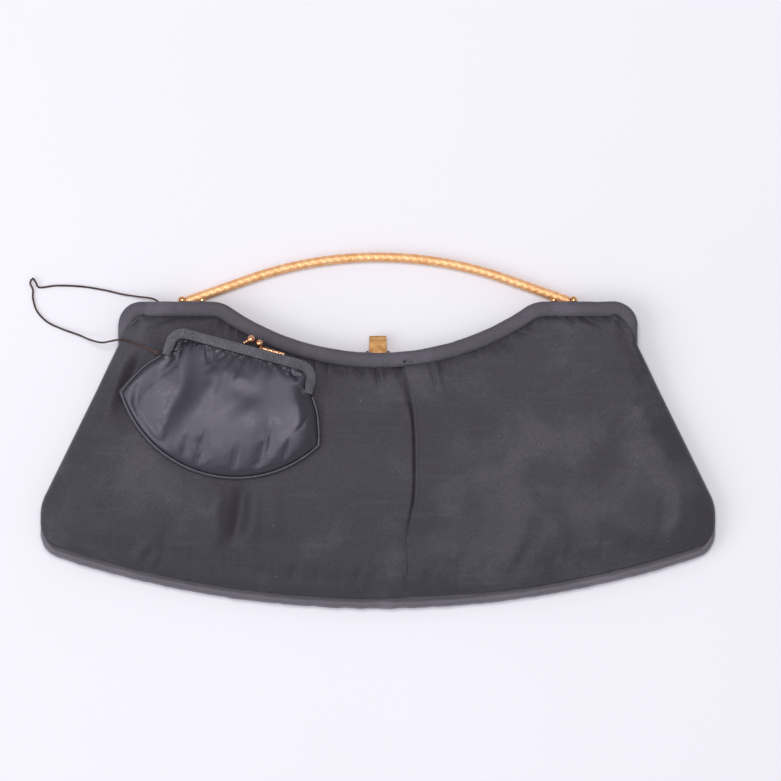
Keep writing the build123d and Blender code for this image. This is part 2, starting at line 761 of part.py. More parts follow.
# ---- The coin purse's pouch ----
coin_lap = coin_band + coin_cover
with BuildPart() as coin_back_panel:
    with BuildSketch(coin_plane):
        add(pouch_outline(0))
        add(coin_window(coin_lap, pouch_mouth - 1))
    extrude(amount=pouch_ply)
finish(coin_back_panel.part, "coin_back_panel")

with BuildPart() as coin_seam:
    with BuildSketch(coin_plane.offset(seam_low)):
        add(pouch_outline(0))
        add(pouch_outline(seam_width, pouch_mouth + 2), mode=Mode.SUBTRACT)
    extrude(amount=seam_thickness)
finish(coin_seam.part, "coin_seam")

pouch_low = seam_low + seam_thickness + ply_gap
with BuildPart() as coin_front_panel_lower:
    add(dome(pouch_outline(0), coin_plane, pouch_low, 0, pouch_lengthwise, pouch_crosswise))
    add(dome(pouch_outline(pouch_ply, pouch_mouth + 1), coin_plane, pouch_low - 1, pouch_ply,
             pouch_lengthwise, pouch_crosswise), mode=Mode.SUBTRACT)
finish(coin_front_panel_lower.part, "coin_front_panel_lower")

with BuildPart() as coin_front_panel_upper:
    with BuildSketch(coin_plane.offset(coin_front_jaw + coin_jaw_depth / 2 - pouch_ply)):
        add(coin_window(coin_lap, coin_panel_foot))
    extrude(amount=2 * pouch_ply)
finish(coin_front_panel_upper.part, "coin_front_panel_upper")

coin_lining_inset = seam_width + lining_thickness + ply_gap
coin_lining_low = pouch_ply + ply_gap
coin_lining_drop = pouch_ply + ply_gap
with BuildPart() as coin_lining:
    add(dome(pouch_outline(coin_lining_inset), coin_plane, coin_lining_low, coin_lining_drop,
             pouch_lengthwise, pouch_crosswise))
    add(dome(pouch_outline(coin_lining_inset + lining_thickness, pouch_mouth + 1), coin_plane,
             coin_lining_low + lining_thickness, coin_lining_drop + lining_thickness,
             pouch_lengthwise, pouch_crosswise), mode=Mode.SUBTRACT)
finish(coin_lining.part, "coin_lining")


# ---- The kiss lock: a ball on a stem on each jaw, side by side so that they snap past each other ----
def on_coin(point):
    """A point given in the coin purse's own frame, in the bag's frame."""
    return coin_plane.from_local_coords(Vector(*point))


def rod(start, end, radius):
    """A straight round rod between two points of the coin purse's frame."""
    foot = on_coin(start)
    direction = on_coin(end) - foot
    with BuildPart() as stick:
        with BuildSketch(Plane(origin=foot, z_dir=direction)):
            Circle(radius)
        extrude(amount=direction.length)
    return stick.part


with BuildPart() as kiss_lock_front:
    add(rod(front_stem_foot, front_ball, stem_radius))
    with Locations(on_coin(front_ball)):
        Sphere(front_ball_radius)
finish(kiss_lock_front.part, "kiss_lock_front")

with BuildPart() as kiss_lock_back:
    add(rod(back_stem_foot, back_ball, stem_radius))
    with Locations(on_coin(back_ball)):
        Sphere(back_ball_radius)
    add(rod(rail_start, rail_end, rail_radius))
    add(rod(back_stem_foot, rail_start, rail_radius))
finish(kiss_lock_back.part, "kiss_lock_back")

# ---- The cord: anchored in the bag's mouth, out round a slack loop, and over the frame to the purse ----
with BuildPart() as cord_anchor:
    with Locations(cord_anchor_place):
        Sphere(knot_radius)
finish(cord_anchor.part, "cord_anchor")

slack_loop = (
    (-93.2, 58.0, 6.0), (-94.0, 63.0, 6.0), (-98.5, 69.0, 5.6), (-107.6, 69.4, 3.0),
    (-121.3, 73.1, 1.0), (-132.0, 74.9, 0.6), (-143.0, 75.3, 0.6), (-151.0, 73.9, 0.8), (-152.2, 76.8, 1.2),
    (-153.8, 78.6, 1.0), (-155.2, 76.5, 0.7), (-153.9, 72.5, 0.6), (-152.9, 65.9, 0.6), (-147.4, 59.0, 0.6),
    (-133.0, 53.2, 2.0),
)
with BuildPart() as tether_cord:
    add(cord_along(slack_loop))
finish(tether_cord.part, "tether_cord")

purse_end = (
    (-131.8, 52.8, 2.6), (-125.3, 50.2, 7.4), (-119.5, 49.6, 11.6), (-114.0, 51.5, 12.6),
    (-105.4, 48.4, 13.4), (-99.5, 46.2, 15.0),
)
with BuildPart() as tether_cord_purse_end:
    add(cord_along(purse_end))
finish(tether_cord_purse_end.part, "tether_cord_purse_end")

with BuildPart() as cord_knot:
    with Locations(cord_knot_place):
        Sphere(knot_radius)
finish(cord_knot.part, "cord_knot")
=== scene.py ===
import json
import math

import bmesh
import bpy
import numpy as np
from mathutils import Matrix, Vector


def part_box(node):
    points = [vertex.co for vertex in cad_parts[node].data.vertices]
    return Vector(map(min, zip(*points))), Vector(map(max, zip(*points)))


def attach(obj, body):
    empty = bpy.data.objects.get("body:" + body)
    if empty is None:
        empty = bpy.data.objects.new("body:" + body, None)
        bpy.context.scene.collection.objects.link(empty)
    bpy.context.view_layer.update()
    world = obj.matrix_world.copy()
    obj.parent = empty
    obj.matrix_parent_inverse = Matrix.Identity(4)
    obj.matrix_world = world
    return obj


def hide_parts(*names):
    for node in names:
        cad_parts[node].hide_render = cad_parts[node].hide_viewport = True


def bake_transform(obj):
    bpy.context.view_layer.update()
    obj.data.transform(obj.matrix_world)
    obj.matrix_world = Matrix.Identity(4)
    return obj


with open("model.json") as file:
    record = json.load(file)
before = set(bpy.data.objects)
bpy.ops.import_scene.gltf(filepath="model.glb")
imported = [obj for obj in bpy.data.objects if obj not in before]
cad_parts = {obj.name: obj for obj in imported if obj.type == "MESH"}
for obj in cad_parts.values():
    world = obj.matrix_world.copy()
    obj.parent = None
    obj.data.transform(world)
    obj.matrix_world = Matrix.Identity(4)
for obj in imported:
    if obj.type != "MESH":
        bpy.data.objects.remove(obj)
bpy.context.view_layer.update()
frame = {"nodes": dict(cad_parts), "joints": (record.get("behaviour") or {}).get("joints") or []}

MM = 0.001
nodes = frame["nodes"]


def box_mm(node):
    """A CAD node's lowest and highest corners in millimetres."""
    low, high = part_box(node)
    return np.array(low) / MM, np.array(high) / MM


# ---------------------------------------------------------------- places read from the frame
cover_low, cover_high = box_mm("front_frame_cover")
back_cover_low, back_cover_high = box_mm("back_frame_cover")
gusset_low, gusset_high = box_mm("bottom_gusset")
catch_low, _ = box_mm("clasp_catch")
joint = {j["name"]: j for j in frame["joints"]}

frame_half = cover_high[0]
frame_top = cover_high[1]
dip_y = catch_low[1] - 0.1
dip_radius = 117.0
shoulder_radius = 15.0
corner_radius = 10.5
band_width = 6.5
back_lap = frame_top - back_cover_high[1]
side_flare = math.radians(26.2)
side_top = np.array([115.8, 47.7])
body_half = gusset_high[0]
body_bottom = gusset_low[1]
bottom_radius = 457.0
knee_radius = 20.0
toe_radius = 11.5


# ---------------------------------------------------------------- small tools
def surface(name, points, wrap_columns=False, flip=False):
    """A quad mesh through an array of points, rows by columns, in millimetres."""
    rows, columns = points.shape[:2]
    index = np.arange(rows * columns).reshape(rows, columns)
    right = np.roll(index, -1, 1)
    if not wrap_columns:
        index, right = index[:, :-1], right[:, :-1]
    a, b, c, d = index[:-1], right[:-1], right[1:], index[1:]
    quads = np.stack([a, d, c, b] if flip else [a, b, c, d], -1).reshape(-1, 4)
    mesh = bpy.data.meshes.new(name)
    mesh.from_pydata((points.reshape(-1, 3) * MM).tolist(), [], quads.tolist())
    mesh.polygons.foreach_set("use_smooth", [True] * len(mesh.polygons))
    mesh.update()
    obj = bpy.data.objects.new(name, mesh)
    bpy.context.scene.collection.objects.link(obj)
    return obj


def closed_tube(name, points, cap=True):
    """A mesh whose rows of points are rings. Each end is capped with one face, and all faces look out."""
    obj = surface(name, points, wrap_columns=True)
    mesh = obj.data
    if cap:
        rows, columns = points.shape[:2]
        faces = [list(p.vertices) for p in mesh.polygons]
        last = (rows - 1) * columns
        faces.append(list(range(columns))[::-1])
        faces.append(list(range(last, last + columns)))
        places = [tuple(v.co) for v in mesh.vertices]
        mesh.clear_geometry()
        mesh.from_pydata(places, [], faces)
        mesh.polygons.foreach_set("use_smooth", [True] * len(mesh.polygons))
        mesh.update()
    work = bmesh.new()
    work.from_mesh(mesh)
    bmesh.ops.recalc_face_normals(work, faces=work.faces)
    work.to_mesh(mesh)
    work.free()
    return obj


def run_length(line):
    """How far along a line each of its points is."""
    return np.concatenate([[0], np.cumsum(np.linalg.norm(np.diff(line, axis=0), axis=1))])


def evenly(line, count):
    """The line resampled to evenly spaced points."""
    length = run_length(line)
    at = np.linspace(0, length[-1], count)
    return np.stack([np.interp(at, length, line[:, k]) for k in range(line.shape[1])], -1)


def line_points(a, b, step):
    count = max(2, int(round(np.linalg.norm(np.subtract(b, a)) / step)) + 1)
    t = np.linspace(0, 1, count)[:, None]
    return np.asarray(a) * (1 - t) + np.asarray(b) * t


def arc_points(centre, radius, start, end, step):
    count = max(3, int(round(abs(math.radians(end - start)) * radius / step)) + 1)
    t = np.radians(np.linspace(start, end, count))
    return np.stack([centre[0] + radius * np.cos(t), centre[1] + radius * np.sin(t)], -1)


def join(*runs):
    """Joins runs of points end to end, leaving out each repeated end."""
    return np.concatenate([runs[0]] + [r[1:] for r in runs[1:]])


def mirrored(right_half):
    """A line that starts on the centre line, continued to its mirror image, from left to right."""
    left = right_half[::-1] * (-1, 1)
    return np.concatenate([left[:-1], right_half])


def directions(line):
    """Unit directions along a line."""
    tangent = np.gradient(line, axis=0)
    return tangent / np.linalg.norm(tangent, axis=1)[:, None]


def side_normals(line):
    """Unit normals of a flat line, on its left-hand side."""
    tangent = directions(line)
    return np.stack([-tangent[:, 1], tangent[:, 0]], -1)


def smooth_path(points, count):
    """A Catmull-Rom curve through the points, evenly spaced."""
    p = np.asarray(points, float)
    p = np.vstack([2 * p[0] - p[1], p, 2 * p[-1] - p[-2]])
    t = np.linspace(0, 1, 24, endpoint=False)[:, None]
    out = []
    for a, b, c, d in zip(p[:-3], p[1:-2], p[2:-1], p[3:]):
        square = (2 * a - 5 * b + 4 * c - d) * t**2
        cube = (3 * b - a - 3 * c + d) * t**3
        out.append(0.5 * (2 * b + (c - a) * t + square + cube))
    return evenly(np.vstack(out + [p[-2][None]]), count)


def cross_directions(path):
    """Two directions square to a 3-D path at each of its points, with no twist."""
    tangent = directions(path)
    first = np.cross(tangent[0], (0, 0, 1.0))
    u = [first / np.linalg.norm(first)]
    for t in tangent[1:]:
        turned = u[-1] - t * (u[-1] @ t)
        u.append(turned / np.linalg.norm(turned))
    u = np.array(u)
    return u, np.cross(tangent, u)


def around(sides):
    """The angles of a ring's points."""
    return np.linspace(0, 2 * np.pi, sides, endpoint=False)


def tube(name, path, radius, sides, cap=True):
    """A round tube along a 3-D path. radius is a number, one for each row, or an array of rows by sides."""
    u, v = cross_directions(path)
    radius = np.asarray(radius, float)
    if radius.ndim == 1:
        radius = radius[:, None]
    r = np.broadcast_to(radius, (len(path), sides))
    turn = around(sides)
    ring = u[:, None] * (np.cos(turn) * r)[..., None] + v[:, None] * (np.sin(turn) * r)[..., None]
    return closed_tube(name, path[:, None] + ring, cap)


def inside_line(line, outward, inset, z):
    """Points at an inset from a flat line and at heights z, with a row for each point of the line."""
    flat = line[:, None] - outward[:, None] * inset[..., None]
    return np.concatenate([flat, np.broadcast_to(z, flat.shape[:2])[..., None]], -1)


def ripple(x, y, scale, seed, waves=7):
    """Smooth repeatable noise from a few crossed waves, about -1 to 1; scale is a wave's length."""
    local = np.random.default_rng(seed)
    total = np.zeros(np.broadcast(x, y).shape)
    for _ in range(waves):
        angle = local.uniform(0, np.pi)
        phase = local.uniform(0, 2 * np.pi)
        length = scale * local.uniform(0.6, 1.7)
        total += np.sin((x * np.cos(angle) + y * np.sin(angle)) * 2 * np.pi / length + phase)
    return total / math.sqrt(waves)


def smoothstep(t):
    t = np.clip(t, 0, 1)
    return t * t * (3 - 2 * t)


def beside(x, y, path, samples):
    """For each point: its distance from a smooth curve, the share of the curve passed there, and its side of
    the curve, 1 on the left and -1 on the right."""
    p = smooth_path(path, samples)
    best = np.full(x.shape, 1e9)
    along = np.zeros(x.shape)
    side = np.zeros(x.shape)
    for i, (a, b) in enumerate(zip(p[:-1], p[1:])):
        d = b - a
        t = np.clip(((x - a[0]) * d[0] + (y - a[1]) * d[1]) / (d @ d), 0, 1)
        dx, dy = x - a[0] - t * d[0], y - a[1] - t * d[1]
        distance = np.hypot(dx, dy)
        near = distance < best
        best = np.where(near, distance, best)
        along = np.where(near, (i + t) / (samples - 1), along)
        side = np.where(near, np.sign(d[0] * dy - d[1] * dx), side)
    return best, along, side


def fold(x, y, path, width, height, fade, one_sided=0.0):
    """A soft ridge (or groove, if height is below 0) along a path of points. It fades in and out over fade of
    its length; one_sided sharpens its left flank by that share."""
    distance, along, side = beside(x, y, path, 40)
    shaped = distance * (1 + one_sided * side)
    window = smoothstep(along / fade) * smoothstep((1 - along) / fade)
    return height * np.exp(-(shaped / width) ** 2) * window


def ledge(x, y, path, width, height):
    """A soft step along a path: height on its left-hand side, nothing on its right."""
    distance, _, side = beside(x, y, path, 30)
    return height * smoothstep(0.5 + side * distance / width)


# ---------------------------------------------------------------- lines the bag is built on
dip_centre = np.array([0, dip_y + dip_radius])
shoulder_y = frame_top - shoulder_radius
shoulder_x = math.sqrt((dip_radius + shoulder_radius) ** 2 - (dip_centre[1] - shoulder_y) ** 2)
dip_angle = math.degrees(math.asin(shoulder_x / (dip_radius + shoulder_radius)))
corner_x = frame_half - corner_radius
corner_y = frame_top - corner_radius


def frame_half_line(inset, end_y=None, step=0.8):
    """The frame's edge at an inset, from the centre of the dip to the foot of the right leg."""
    runs = [
        arc_points(dip_centre, dip_radius + inset, 270, 270 + dip_angle, step),
        arc_points((shoulder_x, shoulder_y), shoulder_radius - inset, 90 + dip_angle, 90, step / 2),
        line_points((shoulder_x, frame_top - inset), (corner_x, frame_top - inset), step),
    ]
    if end_y is not None:
        runs.append(arc_points((corner_x, corner_y), corner_radius - inset, 90, 0, step / 2))
        runs.append(line_points((frame_half - inset, corner_y), (frame_half - inset, end_y), step))
    return join(*runs)


def body_half_line(side_inset, bottom_inset, top_y, step=0.8):
    """The body's outline at an inset, from the centre of the bottom to the top of the right side, and how
    many of its points come before the middle of the lower corner."""
    side_x = body_half - side_inset
    top_x = side_top[0] + (side_top[1] - top_y) * math.tan(side_flare) - side_inset / math.cos(side_flare)
    knee_y = top_y - (side_x - top_x) / math.tan(side_flare)
    knee_run = knee_radius * math.tan(side_flare / 2)
    knee_centre = (side_x - knee_radius, knee_y - knee_run)
    radius = bottom_radius - bottom_inset
    centre = np.array([0, body_bottom + bottom_radius])
    toe_x = side_x - toe_radius
    toe_y = centre[1] - math.sqrt((radius - toe_radius) ** 2 - toe_x**2)
    toe_angle = math.degrees(math.atan2(toe_y - centre[1], toe_x))
    bottom = arc_points(centre, radius, -90, toe_angle, step)
    toe_low = arc_points((toe_x, toe_y), toe_radius, toe_angle, toe_angle / 2, step / 2)
    toe_high = arc_points((toe_x, toe_y), toe_radius, toe_angle / 2, 0, step / 2)
    knee = arc_points(knee_centre, knee_radius, 0, math.degrees(side_flare), step)
    lower = join(bottom, toe_low)
    rest = join(line_points((side_x, toe_y), (side_x, knee_centre[1]), step), knee,
                line_points(knee[-1], (top_x, top_y), step))
    return join(lower, toe_high, rest), len(lower)


def patch(top, bottom, left, right, rows, columns):
    """A flat grid filled in between four lines: rows from top to bottom, columns from left to right."""
    top, bottom = evenly(top, columns), evenly(bottom, columns)
    left, right = evenly(left, rows), evenly(right, rows)
    t = np.linspace(0, 1, rows)[:, None, None]
    s = np.linspace(0, 1, columns)[None, :, None]
    ruled = (1 - t) * top[None] + t * bottom[None] + (1 - s) * left[:, None] + s * right[:, None]
    upper = (1 - t) * ((1 - s) * top[0] + s * top[-1])
    lower = t * ((1 - s) * bottom[0] + s * bottom[-1])
    return ruled - upper - lower


def distance_to(line, x, y):
    """Distance from each point to a line given as close points, measured to its pieces on either side of the
    nearest one."""
    flat = np.stack([x.ravel(), y.ravel()], -1)
    out = np.full(len(flat), np.inf)
    batch = 4000
    for i in range(0, len(flat), batch):
        part = flat[i:i + batch]
        nearest = ((part[:, None] - line[None]) ** 2).sum(-1).argmin(1)
        start = line[nearest]
        for neighbour in (np.maximum(nearest - 1, 0), np.minimum(nearest + 1, len(line) - 1)):
            piece = line[neighbour] - start
            t = ((part - start) * piece).sum(-1) / np.maximum((piece**2).sum(-1), 1e-9)
            away = np.linalg.norm(part - start - np.clip(t, 0, 1)[:, None] * piece, axis=1)
            out[i:i + batch] = np.minimum(out[i:i + batch], away)
    return out.reshape(x.shape)


def distance_to_sides(left, right, x, y):
    """Distance to the nearer of two side lines."""
    return np.minimum(distance_to(left, x, y), distance_to(right, x, y))


def roll(distance, width):
    """0 at an edge, rising along a quarter circle to 1 at width from it."""
    t = np.clip(distance / width, 0, 1)
    return np.sqrt(1 - (1 - t) ** 2)


def body_patch(top_half, shoulder, side_inset, bottom_inset, top_y, rows, columns):
    """A grid over the body. Its edges are a top line, a shoulder from there to the top of the side (the right
    half of both is given), and the body's outline."""
    outline, corner = body_half_line(side_inset, bottom_inset, top_y)
    side = outline[corner - 1:][::-1]
    edge = np.concatenate([top_half[-1:], shoulder, side])
    bottom = mirrored(outline[:corner])
    grid = patch(mirrored(top_half), bottom, edge * (-1, 1), edge, rows, columns)
    return grid[..., 0], grid[..., 1], mirrored(top_half), bottom, (side * (-1, 1), side)


def drape(points, slack, pressure, share, step=3, limit=1.2, frames=22):
    """Lets a sheet of cloth with a little spare length settle between its four held edges, by Blender's cloth
    simulation on a coarse copy of the grid. The grid is moved by what came out: limit millimetres at most,
    and less where share is below 1."""
    coarse = points[::step, ::step]
    rows, columns = coarse.shape[:2]
    work_scale = 10.0  # a bigger copy keeps the solver stable
    sheet = surface("drape_work", coarse * work_scale, flip=True)
    held = np.zeros((rows, columns), bool)
    held[0] = held[-1] = held[:, 0] = held[:, -1] = True
    group = sheet.vertex_groups.new(name="held")
    group.add(np.flatnonzero(held).tolist(), 1.0, "REPLACE")
    cloth = sheet.modifiers.new("cloth", "CLOTH")
    rules = cloth.settings
    rules.quality = 6
    rules.mass = 0.25
    rules.tension_stiffness = rules.compression_stiffness = 25
    rules.shear_stiffness = 8
    rules.bending_stiffness = 0.6
    rules.vertex_group_mass = "held"
    rules.shrink_min = -slack
    rules.use_pressure = True
    rules.uniform_pressure_force = pressure
    rules.effector_weights.gravity = 0
    for frame_number in range(1, frames + 1):
        bpy.context.scene.frame_set(frame_number)
    shape = sheet.evaluated_get(bpy.context.evaluated_depsgraph_get()).to_mesh()
    settled = np.empty(rows * columns * 3)
    shape.vertices.foreach_get("co", settled)
    travel = settled.reshape(rows, columns, 3) / MM / work_scale - coarse
    bpy.data.objects.remove(sheet)
    bpy.context.scene.frame_set(1)
    size = np.linalg.norm(travel, axis=2, keepdims=True)
    travel *= np.tanh(size / limit) * limit / np.maximum(size, 1e-6)
    for axis, count in ((0, points.shape[0]), (1, points.shape[1])):
        at = np.arange(count) / step
        low = np.minimum(at.astype(int), travel.shape[axis] - 2)
        part = smoothstep((at - low).reshape((-1, 1, 1) if axis == 0 else (1, -1, 1)))
        travel = np.take(travel, low, axis) * (1 - part) + np.take(travel, low + 1, axis) * part
    return points + travel * share[..., None]


# ---------------------------------------------------------------- the front panel
seam_inset = 5.6
seam_end_x = 103.3
seam_height = 8.8
crease_height = 8.3
leave_y = 50.0
shoulder_foot_x = 114.6


def belly(x, y):
    """Height of the stuffed front, away from its edges."""
    bulge = np.exp(-((y + 15) / 35) ** 2) * np.clip(1 - (x / 162) ** 2, 0, 1) ** 0.8
    over_leg = smoothstep((np.abs(x) - 94) / 11) * smoothstep((y - 34) / 10)
    return 10.9 + 7.4 * bulge + 1.6 * over_leg


pleat = smooth_path([(8.6, 49), (11.4, 39.6), (14.4, 27), (16, 15.8), (16.6, 4), (16.6, -11.6), (16, -20.5),
                     (14.9, -26), (12.4, -43)], 60)


def pleat_x(y):
    """Where the pleat's line is at a height y."""
    return np.interp(-y, -pleat[:, 1], pleat[:, 0])


def crowd_to_pleat(x, y):
    """Moves the grid's columns so that one runs along the pleat and its neighbours crowd in beside it."""
    column = np.abs(x[0] - pleat_x(0)).argmin()
    reach, squeeze, near = 22.0, 0.72, 7.0
    off = x - x[:, column:column + 1]
    shift = (pleat_x(y) - x[:, column:column + 1]) * np.exp(-((off / reach) ** 2))
    x = x + shift
    off = x - x[:, column:column + 1]
    return x - off * squeeze * np.exp(-((off / near) ** 2))


def lap(x, y):
    """The pleat itself: the cloth on the right stands over the cloth on the left."""
    off = x - pleat_x(y)
    window = smoothstep((49 - y) / 6) * smoothstep((y + 42) / 26)
    wall = smoothstep(0.5 + off / 0.7)
    upper = wall * np.exp(-((np.maximum(off, 0) / 11) ** 2))
    opening = 1.0 + 2.4 * smoothstep((y - 14) / 24)
    hollow = (1 - wall) * np.exp(-((off / opening) ** 2))
    lip = np.exp(-(((off - 1.0) / 0.6) ** 2))
    return (1.35 * upper + 0.22 * lip - 1.5 * hollow) * window


# each gather runs from its head on the seam to its foot, with a width and a height
gathers = (
    ((0.6, 41), (1.6, 33), 1.3, 0.9), ((-4.5, 41), (-5.5, 35), 1.2, 0.5),
    ((24.5, 42), (27.5, 31), 1.3, 0.8), ((30, 43), (31, 37), 1.1, 0.4),
    ((-21, 43), (-22, 37), 1.2, 0.5), ((-27, 44), (-27.5, 38), 1.1, 0.5),
    ((-62, 60), (-63, 54.5), 1.1, 0.6), ((-66.5, 61), (-67.5, 55), 1.2, 0.6),
    ((-71, 61.5), (-73, 55), 1.2, 0.5), ((58, 58), (58.5, 52), 1.3, 0.4),
    ((73, 61.5), (73.5, 56), 1.3, 0.35), ((-88, 61.7), (-89, 57), 1.3, 0.4),
    ((88, 61.7), (88.5, 57.5), 1.3, 0.3), ((-12, 42), (-12.5, 37), 1.4, 0.35),
    ((44, 50), (45, 44), 1.3, 0.35),
)
# each soft fold follows a path, with a width and a height
soft_folds = (
    (((-104, 54), (-116, 36), (-124, 18), (-132, -2)), 6.0, 1.6),
    (((-100, 52), (-108, 36), (-116, 12)), 4.5, -1.5),
    (((-96, 52), (-102, 36), (-109, 12)), 4.5, 1.4),
    (((-112, 14), (-120, -8), (-126, -30)), 7.0, 0.6),
    (((-71, -8), (-71.5, -28), (-71, -48)), 4.6, 1.4),
    (((-60, -9), (-60.5, -24), (-65, -42)), 3.6, -1.5),
    (((-55, -10), (-55.5, -26), (-56, -44)), 3.8, 0.7),
    (((-47, -8), (-46, -26), (-44, -40)), 4.0, 0.4),
    (((-101, -38), (-106, -45), (-111, -49)), 2.6, 0.6),
    (((-96, -42), (-101, -49), (-105, -53)), 2.2, 0.45),
    (((132, -12), (132.4, -24), (131, -38)), 3.0, 0.6),
    (((127, -10), (126.5, -26), (125, -40)), 3.0, -0.4),
    (((104, 52), (116, 30), (126, 4)), 8.0, 0.5),
    (((70, -30), (74, -44), (76, -58)), 6.0, 0.35),
    (((96, 30), (92, 4), (88, -18)), 9.0, 0.4),
    (((36, 30), (38, 8), (37, -16)), 8.0, 0.35),
    (((-20, 36), (-22, 14), (-20, -12)), 7.0, 0.4),
)
gather_slimness = 0.8
gather_lift = 1.3
gather_dip = -1.1
soft_lift = 1.9


def front_folds(x, y):
    """The pleat, the gathers under the frame and the soft folds in the satin."""
    z = lap(x, y)
    for head, foot, width, height in gathers:
        head, foot = np.array(head), np.array(foot)
        head = 1.5 * head - 0.5 * foot
        foot = 1.3 * foot - 0.3 * head
        width *= gather_slimness
        groove = np.array([-1.6 * width, 0])
        z += fold(x, y, (head, foot), width, gather_lift * height, 0.5, one_sided=-0.3)
        z += fold(x, y, (head + groove, foot + groove), 0.8 * width, gather_dip * height, 0.5)
    for path, width, height in soft_folds:
        z += fold(x, y, path, width, soft_lift * height, 0.35)
    z += 0.30 * ripple(x, y, 60, 3) + 0.08 * ripple(x, y, 16, 4)
    return z


def front_height(x, y, top_line, bottom_line, sides, drop=0.0):
    """Height of the front (the belly, rolled off along its sides and bottom and tucked in at the seam), and
    how free the cloth is to move there."""
    base = belly(x, y)
    to_side = distance_to_sides(*sides, x, y)
    to_bottom = distance_to(bottom_line, x, y)
    to_top = distance_to(top_line, x, y)
    side_edge = 8.3 - 2.7 * smoothstep((y + 52) / 38) + 4.2 * smoothstep((y - 26) / 20)
    side_width = 15 - 12.6 * smoothstep((y - 18) / 26)
    z = base - (base - crease_height) * (1 - roll(to_bottom, 9.0))
    z -= (z - side_edge) * (1 - roll(to_side, side_width))
    under_band = 1 - smoothstep((np.abs(x) - 101) / 5)
    z -= (z - seam_height) * (1 - roll(to_top, 4.8)) * under_band
    calm = smoothstep(to_bottom / 6) * smoothstep(to_side / 8)
    return z + front_folds(x, y) * calm - drop, smoothstep(np.minimum(to_side, to_bottom) / 14)


def seam_line(inset):
    """Right half of the seam the front hangs from, as far as it follows the frame."""
    line = frame_half_line(inset)
    return line[line[:, 0] <= seam_end_x]


def over_leg(inset, side_x):
    """From the seam's end, free across the frame's leg, to the body's side."""
    start, end = 104.4, shoulder_foot_x
    way = [(start, frame_top - inset), (108.9, 59.4), (112.5, 55.2), (end, leave_y)]
    squeeze = (side_x - start) / (end - start)
    line = smooth_path([(start + (px - start) * squeeze, py) for px, py in way], 24)
    return line[:-1]


def make_front(name, rows, columns, side_inset, bottom_inset, seam, drop, spare=0.0):
    """The front's outside, or its lining at drop below it. With spare cloth it also settles by simulation."""
    shoulder = over_leg(seam, shoulder_foot_x - side_inset)
    edges = (seam_line(seam), shoulder, side_inset, bottom_inset, leave_y)
    x, y, top, bottom, sides = body_patch(*edges, rows, columns)
    x = crowd_to_pleat(x, y)
    z, free = front_height(x, y, top, bottom, sides, drop)
    points = np.stack([x, y, z], -1)
    if spare:
        points = drape(points, spare, 1.5, free)
    return surface(name, points, flip=True)


front_panel = make_front("front_panel", 187, 430, 0.15, 4.3, seam_inset, 0.0, spare=0.02)
lining_front = make_front("lining_front", 64, 150, 4.5, 7.5, seam_inset + 0.2, 1.6)


# ---------------------------------------------------------------- the fabric bands on the frame
def band_section(low, crown, width, cloth):
    """The band's cut, as (inset, height) round the outside and back along the inside. The shape is drawn for
    the bag's band and scaled to the width asked for."""
    high = crown - low
    outer = [(0.15, 0), (-0.1, 0.22), (-0.2, 0.48), (-0.1, 0.72), (0.25, 0.88), (1.0, 0.97), (2.2, 1.0),
             (3.4, 1), (4.4, 0.985), (5.3, 0.95), (6.1, 0.88), (6.5, 0.78), (6.55, 0.6), (6.45, 0.4)]
    outer = [(inset * width / band_width, low + high * share) for inset, share in outer]
    inner = [(min(max(i, cloth + 0.15), width - cloth), min(z, crown - cloth)) for i, z in outer]
    return outer + inner[::-1]


def turned_down(section, low, crown):
    """The same cut with its rounded face down."""
    return [(inset, low + crown - z) for inset, z in section]


def wrapped_band(name, line, outward, section, pucker, seed):
    """A band of gathered fabric along a flat line; section gives (inset, height) pairs."""
    length = run_length(line)[:, None]
    turn = around(len(section))[None]
    wave = ripple(length, 3.0 * turn, 9, seed) + 0.6 * ripple(length, 2.0 * turn, 4, seed + 1)
    inset, height = np.array(section).T[:, None]
    half = len(section) // 2
    steps = np.arange(len(section))
    show = np.minimum(steps, half * 2 - 1 - steps)[None] / half
    z = height + pucker * wave * smoothstep(show * 2.0)
    return closed_tube(name, inside_line(line, outward, inset - 0.5 * pucker * wave, z))


def frame_band(name, inset, low, crown, seed, face_down=False):
    """The band along one half of the frame; the back one's rounded face is turned down."""
    line = mirrored(frame_half_line(inset, end_y=band_foot))
    section = band_section(low, crown, band_width, 0.4)
    if face_down:
        section = turned_down(section, low, crown)
    return wrapped_band(name, line, side_normals(line), section, 0.10, seed)


band_foot = 43.0
front_band = frame_band("front_band", 0, cover_low[2] + 0.1, cover_high[2] + 0.45, 21)
back_band = frame_band("back_band", back_lap, back_cover_low[2] - 0.1, back_cover_high[2], 27, face_down=True)


